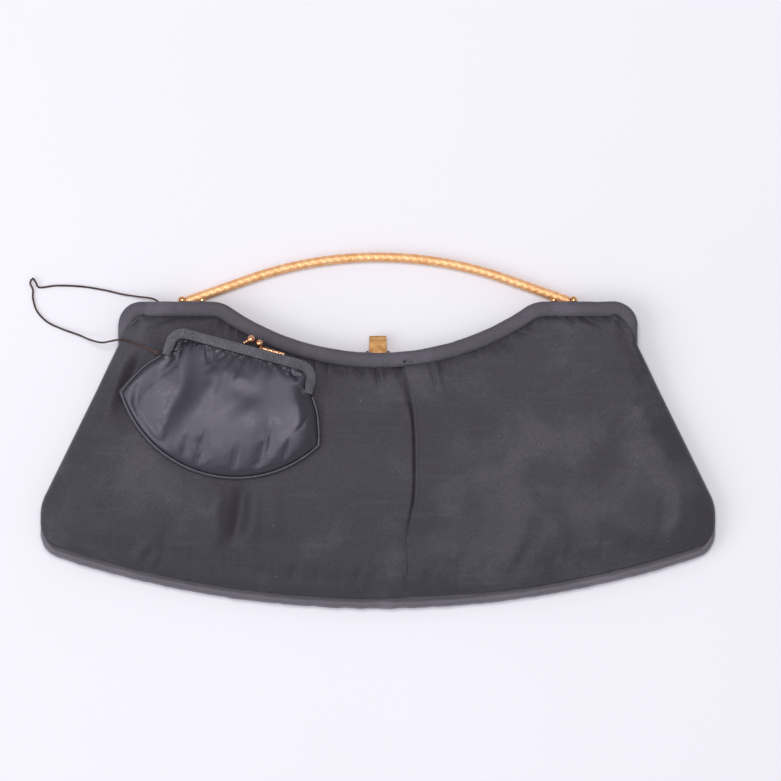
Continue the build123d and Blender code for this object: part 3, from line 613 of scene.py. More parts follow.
# ---------------------------------------------------------------- the gusset round the body
def make_gusset():
    """The strip between the back and the front, gathered into a soft roll along the bottom."""
    outline, _ = body_half_line(0, 0, 46.0, step=0.7)
    line = mirrored(outline)[::-1]
    outward = side_normals(line)
    if outward[len(outward) // 2, 1] > 0:
        outward = -outward
    length = run_length(line)
    low = smoothstep((-12 - line[:, 1]) / 40)[:, None]
    up = smoothstep((line[:, 1] - 26) / 20)[:, None]
    top = 5.6 + 2.5 * low + 2.0 * up
    profile = ((2.0, 0.3, 0.02), (1.1, 0.5, 0.12), (0.7, 0.0, 0.3), (0.5, -0.4, 0.5), (0.6, -0.2, 0.7),
               (0.8, 0.3, 0.86), (1.1, 1.0, 0.97), (1.3, 1.9, 1.0), (1.7, 2.9, 0.95), (2.0, 3.7, 0.82),
               (2.2, 4.6, 0.78), (2.6, 5.4, 0.92), (3.0, 6.2, 0.95))
    side_inset, low_inset, share = np.array(profile).T[:, None]
    steps = np.arange(len(profile))[None]
    show = np.sin(np.pi * steps / (len(profile) - 1))
    slant = length[:, None] + 0.9 * steps
    wave = ripple(slant, steps * 0.5, 8, 31) * 0.55 + ripple(slant, steps * 0.5, 3.8, 32) * 0.35
    wrinkle = wave * show * (0.10 + 0.15 * low)
    inset = side_inset * (1 - low) + low_inset * low - wrinkle
    z = np.maximum(top * share + wrinkle * 0.8, 0.15)
    return surface("gusset", inside_line(line, outward, inset, z))


gusset = make_gusset()


# ---------------------------------------------------------------- the back, the lining and the inside
def flat_top(inset):
    """Right half of the back's top line, inside the back frame, and the run down its leg."""
    whole = frame_half_line(inset, end_y=43.4)
    along_top = whole[:, 0] <= corner_x + 0.7 * (corner_radius - inset)
    return whole[along_top], whole[~along_top]


def to_edges(x, y, bottom, sides):
    """Distance to the nearest of the bottom and the two sides."""
    return np.minimum(distance_to(bottom, x, y), distance_to_sides(*sides, x, y))


back_window = back_lap + 6.3
back_side_top = 42.8
x, y, top, bottom, sides = body_patch(*flat_top(back_window), 1.0, 1.2, back_side_top, 90, 220)
rim = 0.9 * (1 - roll(to_edges(x, y, bottom, sides), 6))
puckers = 0.18 * (1 - smoothstep(distance_to(top, x, y) / 6)) * (1 + ripple(x, y, 7, 42))
z = 0.35 + 0.125 * (1 + ripple(x, y, 46, 41)) + rim + puckers
back_fabric = surface("back_fabric", np.stack([x, y, z], -1))

x, y, top, bottom, sides = body_patch(*flat_top(back_window + 0.4), 4.5, 6.5, back_side_top, 60, 150)
z = 2.2 + 0.15 * ripple(x, y, 30, 43) + 4.2 * (1 - roll(to_edges(x, y, bottom, sides), 9))
lining_back = surface("lining_back", np.stack([x, y, z], -1))

pocket_low, pocket_high = box_mm("inner_pocket")
across = np.linspace(pocket_low[0], pocket_high[0], 90)
x, y = np.meshgrid(across, np.linspace(pocket_high[1], pocket_low[1], 50))
to_side = np.minimum(x - pocket_low[0], pocket_high[0] - x)
to_edge = np.minimum(to_side, y - pocket_low[1])
below_mouth = pocket_high[1] - y
hem = np.exp(-(((below_mouth - 4) / 0.5) ** 2))
z = 2.75 + 1.0 * roll(to_edge, 3) + 0.12 * ripple(x, y, 22, 45) - 0.25 * hem
z -= 0.5 * smoothstep(below_mouth / 6)
pocket = surface("inner_pocket_fabric", np.stack([x, y, z], -1), flip=True)


def make_web(side, name):
    """The folded piece that closes the mouth between the two jaws at one end."""
    run = np.linspace(0, 1, 26)
    leg_y = 36.5 + 20.5 * run
    t = np.linspace(0, 1, 13)
    z = 4.4 + 3.6 * t
    tuck = 2.6 * np.sin(np.pi * t)
    x_line = 105.8 - 1.5 * smoothstep((leg_y - 52) / 5)
    points = np.empty((len(run), len(t), 3))
    points[..., 0] = side * (x_line[:, None] - tuck[None] - 0.3 * ripple(leg_y[:, None], t[None] * 8, 9, 47))
    points[..., 1] = leg_y[:, None]
    points[..., 2] = z[None]
    return surface(name, points, flip=side < 0)


webs = [make_web(1, "side_web_right"), make_web(-1, "side_web_left")]


# ---------------------------------------------------------------- the handle
def make_handle():
    """An arched bar with slanted ridges worked round it in rows, like wheat."""
    pivot_y, pivot_z = np.array(joint["handle_swing"]["pos_m"][1:]) / MM
    radius, arch_radius, end_angle, pivot_x, rise = 2.15, 172.0, math.radians(19.3), 82.6, 0.5
    step, rows, sides, pitch, past_pin = 0.26, 14, 112, 3.4, 1.9
    slope_down = math.tan(end_angle)
    arch_half = arch_radius * math.sin(end_angle)
    foot_y = pivot_y + rise + (pivot_x - arch_half) * slope_down
    arch_top = foot_y + arch_radius * (1 - math.cos(end_angle))
    arch = arc_points((0, arch_top - arch_radius), arch_radius, 90, 90 - math.degrees(end_angle), step)
    end = (pivot_x + past_pin, pivot_y + rise - past_pin * slope_down)
    flat = mirrored(join(arch, line_points((arch_half, foot_y), end, step)))
    path = np.column_stack([flat, np.full(len(flat), pivot_z)])
    length = run_length(path)[:, None]
    turn = around(sides)[None] / (2 * np.pi) * rows
    row = np.floor(turn)
    share = 2 * (turn - row) - 1
    dash = np.sin(2 * np.pi * length / pitch + 1.5 * row + 0.7 * share)
    relief = 0.075 * dash * (1 - share**4) - 0.07 * share**6
    ends = smoothstep(np.minimum(length, length[-1] - length) / 6)
    return tube("handle_rope_bar", path, (radius - 0.06) + relief * (0.25 + 0.75 * ends), sides)


handle_bar = make_handle()


# ---------------------------------------------------------------- the clasp
def bent_strip(name, outline, half_widths):
    """A bent strip: its cut (closed, in y and z) spread over the width, with its two edges rounded off."""
    across = np.concatenate([[-1, -0.985, -0.94], np.linspace(-0.85, 0.85, 9), [0.94, 0.985, 1]])
    shrink = np.array([0.5, 0.25, 0.06] + [0] * 9 + [0.06, 0.25, 0.5])
    outline = np.asarray(outline)
    inward = outline.mean(0) - outline
    inward /= np.linalg.norm(inward, axis=1)[:, None]
    flat = outline[None] + inward[None] * shrink[:, None, None] * 0.3
    wide = across[:, None] * np.asarray(half_widths)[None]
    return closed_tube(name, np.concatenate([wide[..., None], flat], -1))


def make_clasp_tab():
    """The tab: a flat strip rolled over at the top and curled round its pin at the foot."""
    pin_y, pin_z = np.array(joint["clasp_lift"]["pos_m"][1:]) / MM
    half, roll_radius, top_y, knuckle, cloth = 3.9, 1.1, 53.0, 1.15, 0.8
    z = pin_z + knuckle - cloth / 2
    roll_y = top_y - roll_radius
    up = [(pin_y + 0.2, z + cloth / 2), (47.5, z + 0.47), (49.3, z + 0.5), (50.6, z + 0.62)]
    curl = arc_points((roll_y, z), roll_radius, 112, -150, roll_radius * math.radians(262) / 14)
    down = [(50.2, z - 0.4), (48.2, z - 0.4), (46.4, z - 0.4)]
    eye = arc_points((pin_y, pin_z), knuckle, 20, -250, knuckle * math.radians(270) / 13)
    outline = np.concatenate([up, curl, down, eye])
    return bent_strip("clasp_tab_brass", outline, half * (1 - 0.03 * smoothstep((outline[:, 0] - 49) / 2)))


clasp_tab = make_clasp_tab()


# ---------------------------------------------------------------- the coin purse
slope = 0.0963
coin_turn = math.radians(15.2)
coin_origin = np.array([-61.75, 36.65, 14.55])
coin_z = np.array([0, slope, 1.0])
coin_z /= np.linalg.norm(coin_z)
coin_x = np.array([math.cos(coin_turn), -math.sin(coin_turn), slope * math.sin(coin_turn)])
coin_x /= np.linalg.norm(coin_x)
coin_y = np.cross(coin_z, coin_x)


def on_coin(points):
    """Points given along, up and out of the coin purse, in the bag's frame."""
    points = np.asarray(points, float)
    return coin_origin + points[..., :1] * coin_x + points[..., 1:2] * coin_y + points[..., 2:3] * coin_z


coin_half, coin_top, coin_corner, coin_band = 34.2, 12.1, 8.0, 4.2


def coin_half_line(inset, foot, step=0.4):
    """The coin purse's frame edge, from its middle to the foot of the right leg."""
    edge_x = coin_half - coin_corner
    edge_y = coin_top - coin_corner
    return join(
        line_points((0, coin_top - inset), (edge_x, coin_top - inset), step),
        arc_points((edge_x, edge_y), coin_corner - inset, 90, 0, step / 2),
        line_points((coin_half - inset, edge_y), (coin_half - inset, foot), step),
    )


def circle_through(a, b, c):
    """Centre and radius of the circle through three flat points."""
    d = 2 * (a[0] * (b[1] - c[1]) + b[0] * (c[1] - a[1]) + c[0] * (a[1] - b[1]))
    x = ((a @ a) * (b[1] - c[1]) + (b @ b) * (c[1] - a[1]) + (c @ c) * (a[1] - b[1])) / d
    y = ((a @ a) * (c[0] - b[0]) + (b @ b) * (a[0] - c[0]) + (c @ c) * (b[0] - a[0])) / d
    centre = np.array([x, y])
    return centre, np.linalg.norm(a - centre)


def pouch_lines(inset, mouth):
    """The pouch's two sides from the mouth down, and its bottom from the left corner to the right one."""
    inward = np.array([inset, 0])
    side = smooth_path(np.array([(35.0, mouth), (38.6, -8.0), (41.7, -16), (43.3, -22.0)]) - inward, 40)
    left = smooth_path(np.array([(-35.2, mouth), (-40.6, -8.0), (-45.2, -16), (-47.9, -22.0)]) + inward, 40)
    centre, radius = circle_through(left[-1], np.array([-2.3, -47.6 + inset]), side[-1])
    start, end = (math.degrees(math.atan2(*(p - centre)[::-1])) % 360 for p in (left[-1], side[-1]))
    return side, left, arc_points(centre, radius, start, end, 0.5)


def coin_patch(top_inset, side_inset, mouth, foot, rows, columns):
    """A grid over the pouch. It hangs from the frame's top, and each side runs down the frame's leg first."""
    whole = coin_half_line(top_inset, foot)
    along_top = whole[:, 0] <= coin_half - coin_corner + 0.7 * (coin_corner - top_inset)
    top, leg = mirrored(whole[along_top]), whole[~along_top]
    side, left, bottom = pouch_lines(side_inset, mouth)
    right_edge = np.concatenate([top[-1:], leg, side])
    left_edge = np.concatenate([top[:1], leg * (-1, 1), left])
    grid = patch(top, bottom, left_edge, right_edge, rows, columns)
    return grid[..., 0], grid[..., 1], mirrored(whole), bottom, (left, side)


# as soft_folds, along and up the coin purse
coin_folds = (
    (((-24.6, 7), (-23, -3), (-21, -15), (-24, -25), (-25, -36)), 3.4, -0.8),
    (((-31, -3), (-34, -12), (-33, -26)), 5.0, 1.0),
    (((-17.5, 8.5), (-12.5, -1)), 1.2, -0.7),
    (((-12, 3), (-9, -6), (-10, -18)), 3.4, 1.0),
    (((-8, 0.5), (1, -2.6), (9, -4.6)), 2.8, 0.5),
    (((-4, -5.5), (6, -9), (16, -9)), 4.4, -0.5),
    (((21.5, 7.2), (27, 2.6)), 1.0, -0.8),
    (((20, 3.4), (25, 5.0), (29, 5.4)), 0.8, -0.45),
    (((27, 1), (31, -10), (37, -20)), 3.4, 0.8),
    (((-9, -31), (-6, -37), (-2, -42)), 2.6, -0.8),
    (((-15, -32), (-13, -38), (-11, -43)), 1.7, -0.45),
    (((-28, -28), (-25, -33), (-22, -38)), 1.6, -0.5),
    (((2, -16), (10, -20), (20, -20)), 8.0, 0.8),
    (((34, -26), (26, -31), (14, -36)), 2.2, -0.4),
    (((-40, -10), (-42, -17), (-43, -22)), 2.0, -0.6),
    (((12, 7.8), (14, 3)), 1.2, -0.4),
    (((0, 7.8), (1, 4)), 1.1, -0.35),
)


def coin_front_surface(name, rows, columns, side_inset, drop, spare=0.0):
    """The pouch's front: its folds, small puckers under the frame and a step down along its left side."""
    u, v, top, bottom, sides = coin_patch(4.1, side_inset, -2.3, 0.6, rows, columns)
    to_top = distance_to(top, u, v)
    to_side = distance_to_sides(*sides, u, v)
    to_bottom = distance_to(bottom, u, v)
    puff = np.exp(-((v + 22) / 25) ** 2) * np.clip(1 - ((u - 3) / 54) ** 2, 0, 1)
    w = 4.4 + 4.2 * puff
    w -= (w - 2.5) * (1 - roll(to_bottom, 9))
    w -= (w - 2.5) * (1 - roll(to_side, 9))
    w -= (w - 4.6) * (1 - roll(to_top, 3.5))
    extra = np.zeros(u.shape)
    for path, width, height in coin_folds:
        extra += fold(u, v, path, width, height, 0.4)
    for k in range(15):
        at = -26 + 3.7 * k + 0.9 * math.sin(2.3 * k)
        extra += fold(u, v, ((at, 8.2), (at * 1.04, 6.6 - 0.9 * (k % 3))), 0.6, 0.2 + 0.1 * (k % 2), 0.5)
    extra += ledge(u, v, ((-23, -46), (-22, -36), (-19, -24), (-17, -14), (-19, -3), (-23, 9)), 13.0, -3.6)
    calm = smoothstep(to_bottom / 5) * smoothstep(to_side / 8)
    w = w + extra * calm + 0.12 * ripple(u, v, 26, 63) - drop
    points = np.stack([u, v, w], -1)
    if spare:
        points = drape(points, spare, 1.0, calm)
    return surface(name, on_coin(points), flip=True)


coin_pouch = coin_front_surface("coin_pouch_front", 151, 196, 1.1, 0.0, spare=0.02)
coin_lining_front = coin_front_surface("coin_lining_front", 40, 70, 2.2, 1.5)

u, v, top, bottom, sides = coin_patch(4.1, 0.4, -2.3, 3.4, 70, 110)
w = 0.45 + 0.16 * ripple(u, v, 20, 64) + 0.7 * (1 - roll(to_edges(u, v, bottom, sides), 4))
outside = np.stack([u, v, w], -1)
coin_back = surface("coin_pouch_back", on_coin(outside))
inside = outside * (0.965, 0.965, 1) + (0, 0, 0.9)
coin_lining_back = surface("coin_lining_back", on_coin(inside), flip=True)


def coin_band_mesh(name, low, crown, seed, face_down=False):
    """The band along one half of the coin purse's frame, thinner at its feet. The front one's feet also slant
    up, so that they stay clear of the back one when the purse opens."""
    line = mirrored(coin_half_line(0, coin_foot))
    section = band_section(low, crown, coin_band, 0.3)
    if face_down:
        section = turned_down(section, low, crown)
    obj = wrapped_band(name, line, side_normals(line), section, 0.05, seed)
    co = np.array([v.co for v in obj.data.vertices]) / MM
    foot = smoothstep((co[:, 1] - coin_foot) / 5.0)
    inset = (coin_half - np.abs(co[:, 0])) * (0.78 + 0.22 * foot)
    co[:, 0] = np.where(foot < 1, np.sign(co[:, 0]) * (coin_half - inset), co[:, 0])
    if not face_down:
        share = np.clip((co[:, 2] - low) / (crown - low), 0, 1)
        co[:, 2] = low + (co[:, 2] - low) * (0.8 + 0.2 * foot)
        co[:, 2] += (1 - share) * np.maximum(0.4 - co[:, 1], 0)
    obj.data.vertices.foreach_set("co", (on_coin(co) * MM).ravel())
    obj.data.update()
    return obj


coin_foot = -1.3
coin_band_front = coin_band_mesh("coin_band_front", 3.4, 6.35, 71)
coin_band_back = coin_band_mesh("coin_band_back", 0.1, 2.9, 73, face_down=True)


def make_coin_seam():
    """The stitched edge of the pouch: a narrow roll with a stitch dent at even steps."""
    side, left, bottom = pouch_lines(0.35, -2.0)
    line = evenly(np.concatenate([left, bottom[1:-1], side[::-1]]), 700)
    length = run_length(line)[:, None]
    sides, stitch = 14, 1.25
    turn = around(sides)[None]
    dent = 0.13 * (0.5 + 0.5 * np.cos(2 * np.pi * length / stitch)) * (np.cos(turn) ** 2)
    wobble = 0.05 * ripple(length, turn, 6, 75)
    path = on_coin(np.column_stack([line, np.full(len(line), 2.0)]))
    return tube("coin_seam_roll", path, 0.86 - dent + wobble, sides)


coin_seam = make_coin_seam()


# ---------------------------------------------------------------- the kiss lock
def lathe(name, profile, foot, top, sides=32):
    """A turned piece: profile holds (distance along, radius) from foot towards top."""
    axis = (top - foot) / np.linalg.norm(top - foot)
    u = np.cross(axis, (0.3, 0.2, 1.0))
    u /= np.linalg.norm(u)
    v = np.cross(axis, u)
    turn = around(sides)[None, :, None]
    along, radius = np.array(profile).T[..., None, None]
    return closed_tube(name, foot + axis * along + radius * (u * np.cos(turn) + v * np.sin(turn)))


def ball_on_stem(name, foot, ball, radius):
    """A ball on a waisted stem with a small collar."""
    foot, ball = on_coin(foot), on_coin(ball)
    reach = np.linalg.norm(ball - foot)
    neck = math.asin(0.5 / radius)
    rounds = np.linspace(math.pi - neck, 0.02, 22)
    collar = reach - radius
    stem = [(0, 0.72), (0.25, 0.74), (0.5, 0.6)]
    stem += [(collar - 0.5, 0.5), (collar - 0.35, 0.78), (collar - 0.1, 0.8)]
    profile = [p for p in stem if p[0] < reach - radius * math.cos(neck)]
    profile += [(reach + radius * math.cos(a), radius * math.sin(a)) for a in rounds]
    return lathe(name, profile, foot, ball)


kiss_front = ball_on_stem("kiss_lock_ball_front", (-1.0, 12.7, 4.8), (1.64, 15.5, 3.4), 1.85)
kiss_back = ball_on_stem("kiss_lock_ball_back", (6.5, 12.75, 1.5), (5.75, 14.75, 2.9), 1.7)


def make_rail():
    """The thin bar beside the balls, with a twist worked into it."""
    start, end, count, sides, pitch = 6.4, 17.8, 90, 20, 2.6
    s = np.linspace(start, end, count)
    path = on_coin(np.column_stack([s, np.full(count, 12.85), np.full(count, 1.7)]))
    s = s[:, None]
    ends = np.sqrt(np.clip(1 - ((s - (start + end) / 2) / 5.75) ** 8, 0, 1))
    twist = 0.06 * np.sin(3 * around(sides)[None] + 2 * np.pi * s / pitch)
    return tube("kiss_lock_rail", path, (0.8 + twist) * (0.3 + 0.7 * ends), sides)


rail = make_rail()


# ---------------------------------------------------------------- the cord
cord_way = (
    (-93.2, 57.2, 6.0), (-93.6, 61, 6.05), (-95.4, 65.9, 6.0), (-99.5, 69.3, 5.4), (-107.6, 70.6, 3.0),
    (-114, 71.6, 1.7), (-121.3, 73.3, 1.0), (-132.0, 75.0, 0.75), (-143.0, 75.4, 0.75),
    (-150.6, 74.6, 0.9), (-152.3, 76.8, 1.5), (-153.6, 78.6, 1.2), (-154.9, 76.6, 0.8),
    (-153.7, 73.6, 0.75), (-153.6, 69.5, 0.7), (-151.8, 64.0, 0.7), (-147.2, 59.2, 0.7),
    (-140.4, 56.0, 1.1), (-133.0, 53.4, 2.1), (-127.6, 51.2, 5.3), (-122.4, 50.0, 10.2),
    (-118.2, 50.6, 13.4), (-114.0, 51.2, 14.0), (-109.8, 50.3, 14.0), (-105.4, 48.6, 14.2),
    (-100.5, 46.6, 15.2), (-97.6, 45.4, 15.5),
)


def make_cord():
    """Two plies laid round each other, from the bag's mouth, out in a slack loop and back to the purse."""
    lay, ply_offset, ply_radius, wrap_radius, sides = 2.1, 0.23, 0.26, 0.3, 7
    path = smooth_path(cord_way, 1500)
    length = run_length(path)
    u, v = cross_directions(path)
    plies = []
    for phase in (0, np.pi):
        angle = 2 * np.pi * length / lay + phase
        strand = path + ply_offset * (u * np.cos(angle)[:, None] + v * np.sin(angle)[:, None])
        radius = ply_radius + 0.015 * ripple(length, length * 0, 2.0, 81)
        plies.append(tube(f"ply_{int(phase)}", strand, radius, sides))
    t = np.linspace(0, 2 * np.pi, 220)
    for tilt, phase in ((0.0, 0.0), (0.9, 1.1), (-0.9, 2.3)):
        swing = np.sin(t + phase)
        height = 0.6 * swing * math.sin(tilt) + 0.12 * np.sin(2 * t)
        wrap = np.column_stack([0.65 * np.cos(t + phase), 0.65 * swing * math.cos(tilt), height])
        plies.append(tube(f"wrap_{tilt}", np.array(cord_way[-1]) + wrap, wrap_radius, sides, cap=False))
    bpy.ops.object.select_all(action="DESELECT")
    for obj in plies:
        obj.select_set(True)
    bpy.context.view_layer.objects.active = plies[0]
    bpy.ops.object.join()
    bpy.ops.object.select_all(action="DESELECT")
    plies[0].name = "tether_cord_twist"
    return plies[0]


cord = make_cord()


# ---------------------------------------------------------------- materials
def linear(rgb):
    """A display colour given as 0 to 255 values, as the linear colour a shader takes."""
    shares = [value / 255 for value in rgb]
    return tuple(c / 12.92 if c <= 0.04045 else ((c + 0.055) / 1.055) ** 2.4 for c in shares) + (1.0,)


class Paint:
    """A material built up from noise, waves and mixes in the object's own millimetres."""

    def __init__(self, name):
        self.material = bpy.data.materials.new(name)
        self.material.use_nodes = True
        self.tree = self.material.node_tree
        self.shader = self.tree.nodes["Principled BSDF"]
        scale = self.node("ShaderNodeMapping")
        scale.inputs["Scale"].default_value = (1000, 1000, 1000)
        self.link(self.node("ShaderNodeTexCoord").outputs["Object"], scale.inputs["Vector"])
        self.place = scale.outputs["Vector"]
        self.normal = None

    def node(self, kind, **settings):
        made = self.tree.nodes.new(kind)
        for key, value in settings.items():
            setattr(made, key, value)
        return made

    def link(self, source, target):
        self.tree.links.new(source, target)

    def feed(self, target, value):
        if hasattr(value, "is_output"):
            self.link(value, target)
        else:
            target.default_value = value

    def set(self, **inputs):
        for name, value in inputs.items():
            self.feed(self.shader.inputs[name.replace("_", " ")], value)

    def noise(self, size, detail=3.0, rough=0.55, stretch=None, twist=0.0):
        """Cloudy noise; size is a blotch's width in millimetres, stretch makes it longer along an axis."""
        made = self.node("ShaderNodeTexNoise")
        made.inputs["Scale"].default_value = 1.0 / size
        made.inputs["Detail"].default_value = detail
        made.inputs["Roughness"].default_value = rough
        made.inputs["Distortion"].default_value = twist
        place = self.place
        if stretch:
            squeeze = self.node("ShaderNodeMapping")
            squeeze.inputs["Scale"].default_value = stretch
            self.link(place, squeeze.inputs["Vector"])
            place = squeeze.outputs["Vector"]
        self.link(place, made.inputs["Vector"])
        return made.outputs["Fac"]

    def bands(self, pitch, direction="X", wobble=0.4):
        """Evenly spaced soft lines; pitch in millimetres."""
        made = self.node("ShaderNodeTexWave", bands_direction=direction)
        made.inputs["Scale"].default_value = 2 * math.pi / (20 * pitch)
        made.inputs["Distortion"].default_value = wobble
        made.inputs["Detail"].default_value = 1.0
        made.inputs["Detail Scale"].default_value = 1.0
        self.link(self.place, made.inputs["Vector"])
        return made.outputs["Fac"]

    def specks(self, size, share):
        """Small bright dots, about one per size in millimetres; share is a dot's part of its cell."""
        made = self.node("ShaderNodeTexVoronoi")
        made.inputs["Scale"].default_value = 1.0 / size
        self.link(self.place, made.inputs["Vector"])
        return self.range(made.outputs["Distance"], share * 0.6, share, 1.0, 0.0)

    def range(self, value, low, high, new_low=0.0, new_high=1.0):
        """Eases value from low and high over to new_low and new_high."""
        made = self.node("ShaderNodeMapRange", interpolation_type="SMOOTHSTEP")
        limits = {"From Min": low, "From Max": high, "To Min": new_low, "To Max": new_high}
        for name, number in limits.items():
            made.inputs[name].default_value = number
        self.link(value, made.inputs["Value"])
        return made.outputs["Result"]

    def math(self, operation, a, b):
        made = self.node("ShaderNodeMath", operation=operation)
        self.feed(made.inputs[0], a)
        self.feed(made.inputs[1], b)
        return made.outputs["Value"]

    def times(self, a, b):
        return self.math("MULTIPLY", a, b)

    def mix(self, factor, first, second):
        made = self.node("ShaderNodeMix", data_type="RGBA")
        self.feed(made.inputs["Factor"], factor)
        self.feed(made.inputs["A"], first)
        self.feed(made.inputs["B"], second)
        return made.outputs["Result"]

    def bump(self, height, depth, strength=1.0):
        """Relief from a height between 0 and 1; depth in millimetres."""
        made = self.node("ShaderNodeBump")
        made.inputs["Strength"].default_value = strength
        made.inputs["Distance"].default_value = depth * MM
        self.link(height, made.inputs["Height"])
        if self.normal is not None:
            self.link(self.normal, made.inputs["Normal"])
        self.normal = made.outputs["Normal"]
        self.link(self.normal, self.shader.inputs["Normal"])


def satin(name, dark, dusty, thread, weave_depth, roughness, sheen, dust_share=1.0, shine=0.32,
          gloss=(236, 232, 244)):
    """Woven satin: fine threads both ways, slubs, a dusty bloom and a few specks of lint."""
    paint = Paint(name)
    dark, dusty = linear(dark), linear(dusty)
    warp = paint.bands(thread, "X")
    weft = paint.bands(thread * 1.35, "Y")
    weave = paint.times(warp, weft)
    slub = paint.noise(6.0, 2.0, 0.5, stretch=(0.18, 2.2, 1.0))
    blotch = paint.noise(38.0, 4.0, 0.6, twist=0.4)
    grain = paint.noise(1.3, 3.0, 0.7)
    dust = paint.range(paint.noise(0.5, 3.0, 0.8), 0.36, 0.70)
    bloom = paint.times(paint.range(blotch, 0.48, 0.70), paint.math("ADD", 0.45, dust))
    colour = paint.mix(paint.times(bloom, 0.34 * dust_share), dark, dusty)
    colour = paint.mix(paint.range(slub, 0.55, 0.8, 0.0, 0.12 * dust_share), colour, dusty)
    colour = paint.mix(paint.times(dust, 0.26 * dust_share), colour, dusty)
    gathered = paint.range(paint.noise(14.0, 3.0, 0.7), 0.50, 0.66)
    lint = paint.times(paint.specks(2.6, 0.085), gathered)
    colour = paint.mix(paint.times(lint, 0.4 * dust_share), colour, linear((196, 192, 194)))
    paint.set(Base_Color=colour, Roughness=paint.range(grain, 0.2, 0.8, roughness - 0.06, roughness + 0.08))
    paint.set(Sheen_Weight=sheen, Sheen_Roughness=0.45, Specular_IOR_Level=shine)
    paint.set(Sheen_Tint=linear((205, 203, 220)), Specular_Tint=linear(gloss))
    paint.bump(weave, weave_depth)
    paint.bump(grain, 0.05, 0.6)
    return paint.material


def ribbed(name, dark, light, pitch, roughness):
    """Grosgrain: a ribbed ribbon wrapped over the frame."""
    paint = Paint(name)
    ribs = paint.bands(pitch, "X", 0.8)
    threads = paint.bands(pitch * 0.6, "Y", 0.6)
    grain = paint.noise(0.9, 3.0, 0.65)
    blotch = paint.noise(14.0, 3.0, 0.6)
    worn = paint.times(grain, paint.range(blotch, 0.3, 0.7, 0.4, 1.0))
    worn_ribs = paint.times(worn, paint.range(ribs, 0.2, 0.8, 0.5, 1.1))
    colour = paint.mix(worn_ribs, linear(dark), linear(light))
    lint = paint.times(paint.specks(1.5, 0.2), paint.range(paint.noise(5.0, 2.0), 0.45, 0.6))
    colour = paint.mix(paint.times(lint, 0.5), colour, linear((170, 166, 172)))
    paint.set(Base_Color=colour, Roughness=roughness, Sheen_Weight=0.12, Specular_IOR_Level=0.3)
    paint.bump(paint.times(ribs, threads), 0.4)
    paint.bump(grain, 0.06, 0.7)
    return paint.material


def metal(name, deep, bright, roughness, grain_size=0.5, dent=0.03, tarnish=None, metallic=1.0):
    """Plated metal, rubbed bright in places and darker in others."""
    paint = Paint(name)
    wear = paint.noise(4.0, 4.0, 0.6, twist=0.3)
    grain = paint.noise(grain_size, 3.0, 0.6)
    colour = paint.mix(paint.range(wear, 0.32, 0.68), linear(deep), linear(bright))
    if tarnish:
        spots = paint.range(paint.noise(2.2, 5.0, 0.7), 0.56, 0.68, 0.0, 0.7)
        colour = paint.mix(spots, colour, linear(tarnish))
    paint.set(Base_Color=colour, Metallic=metallic)
    paint.set(Roughness=paint.range(grain, 0.25, 0.75, roughness - 0.05, roughness + 0.10))
    paint.bump(grain, dent, 0.5)
    return paint.material


def twisted_thread(name, dark, light):
    """Cord: strands of thread, lighter where it has faded."""
    paint = Paint(name)
    strand = paint.noise(0.35, 2.0, 0.6, stretch=(0.5, 1.6, 1.0))
    shade = paint.noise(24.0, 2.0, 0.5)
    faded = paint.times(strand, paint.range(shade, 0.35, 0.65, 0.35, 1.0))
    colour = paint.mix(faded, linear(dark), linear(light))
    paint.set(Base_Color=colour, Roughness=0.72, Sheen_Weight=0.25, Specular_IOR_Level=0.25)
    paint.bump(strand, 0.05)
    return paint.material


def paper(name):
    """Twisted brown paper."""
    paint = Paint(name)
    lay = paint.bands(0.9, "DIAGONAL", 1.5)
    grain = paint.noise(0.8, 4.0, 0.7)
    colour = paint.mix(grain, linear((150, 124, 88)), linear((205, 182, 142)))
    paint.set(Base_Color=colour, Roughness=0.85, Specular_IOR_Level=0.2)
    paint.bump(lay, 0.15)
    return paint.material


bag_satin = satin("bag_satin", (49, 47, 52), (96, 92, 100), 0.32, 0.05, 0.52, 0.10, shine=0.36)
# the bands on the frame are the bag's own satin painted lighter: a painted highlight for the light the raised
# bands catch
band_satin_painted_lighter = satin("bag_satin_gathered_painted_lighter", (70, 67, 76), (116, 112, 122), 0.32, 0.06, 0.54, 0.15, shine=0.45)
# the gusset is the bag's own satin painted lighter: painted light for the sheen its roll catches from below
gusset_satin_painted_lighter = satin("bag_satin_gusset_painted_lighter", (92, 88, 96), (134, 128, 138), 0.32, 0.06, 0.52, 0.16, shine=0.5)
coin_satin = satin("coin_satin", (34, 32, 38), (52, 49, 58), 0.26, 0.03, 0.40, 0.12, dust_share=0.5,
                   shine=1.1, gloss=(230, 226, 246))
coin_grosgrain = ribbed("coin_grosgrain", (52, 50, 58), (150, 146, 158), 0.95, 0.6)
lining_satin = satin("lining_satin", (34, 32, 38), (52, 50, 58), 0.24, 0.03, 0.42, 0.08, dust_share=0.35)
handle_gilt = metal("handle_gilt", (238, 174, 118), (250, 198, 146), 0.46, 0.5, 0.02, metallic=0.55)
pin_gilt = metal("pin_gilt", (206, 140, 86), (250, 206, 150), 0.20, 0.6, 0.015)
clasp_brass = metal("clasp_brass", (166, 120, 66), (204, 156, 98), 0.56, 0.5, 0.02,
                    tarnish=(140, 96, 56), metallic=0.45)
# the clasp's bracket is coloured much darker than the clasp's other brass parts
dark_brass = metal("dark_bracket_brass", (62, 50, 42), (98, 78, 56), 0.5, 0.5, 0.03)
kiss_gilt = metal("kiss_lock_gilt", (206, 142, 104), (246, 196, 156), 0.20, 0.6, 0.015)
steel_grey = metal("frame_steel", (112, 110, 108), (168, 166, 162), 0.42, 0.4, 0.03, tarnish=(92, 72, 58))
paper_cord = paper("paper_cord")
cord_thread = twisted_thread("cord_thread", (34, 24, 24), (112, 80, 70))


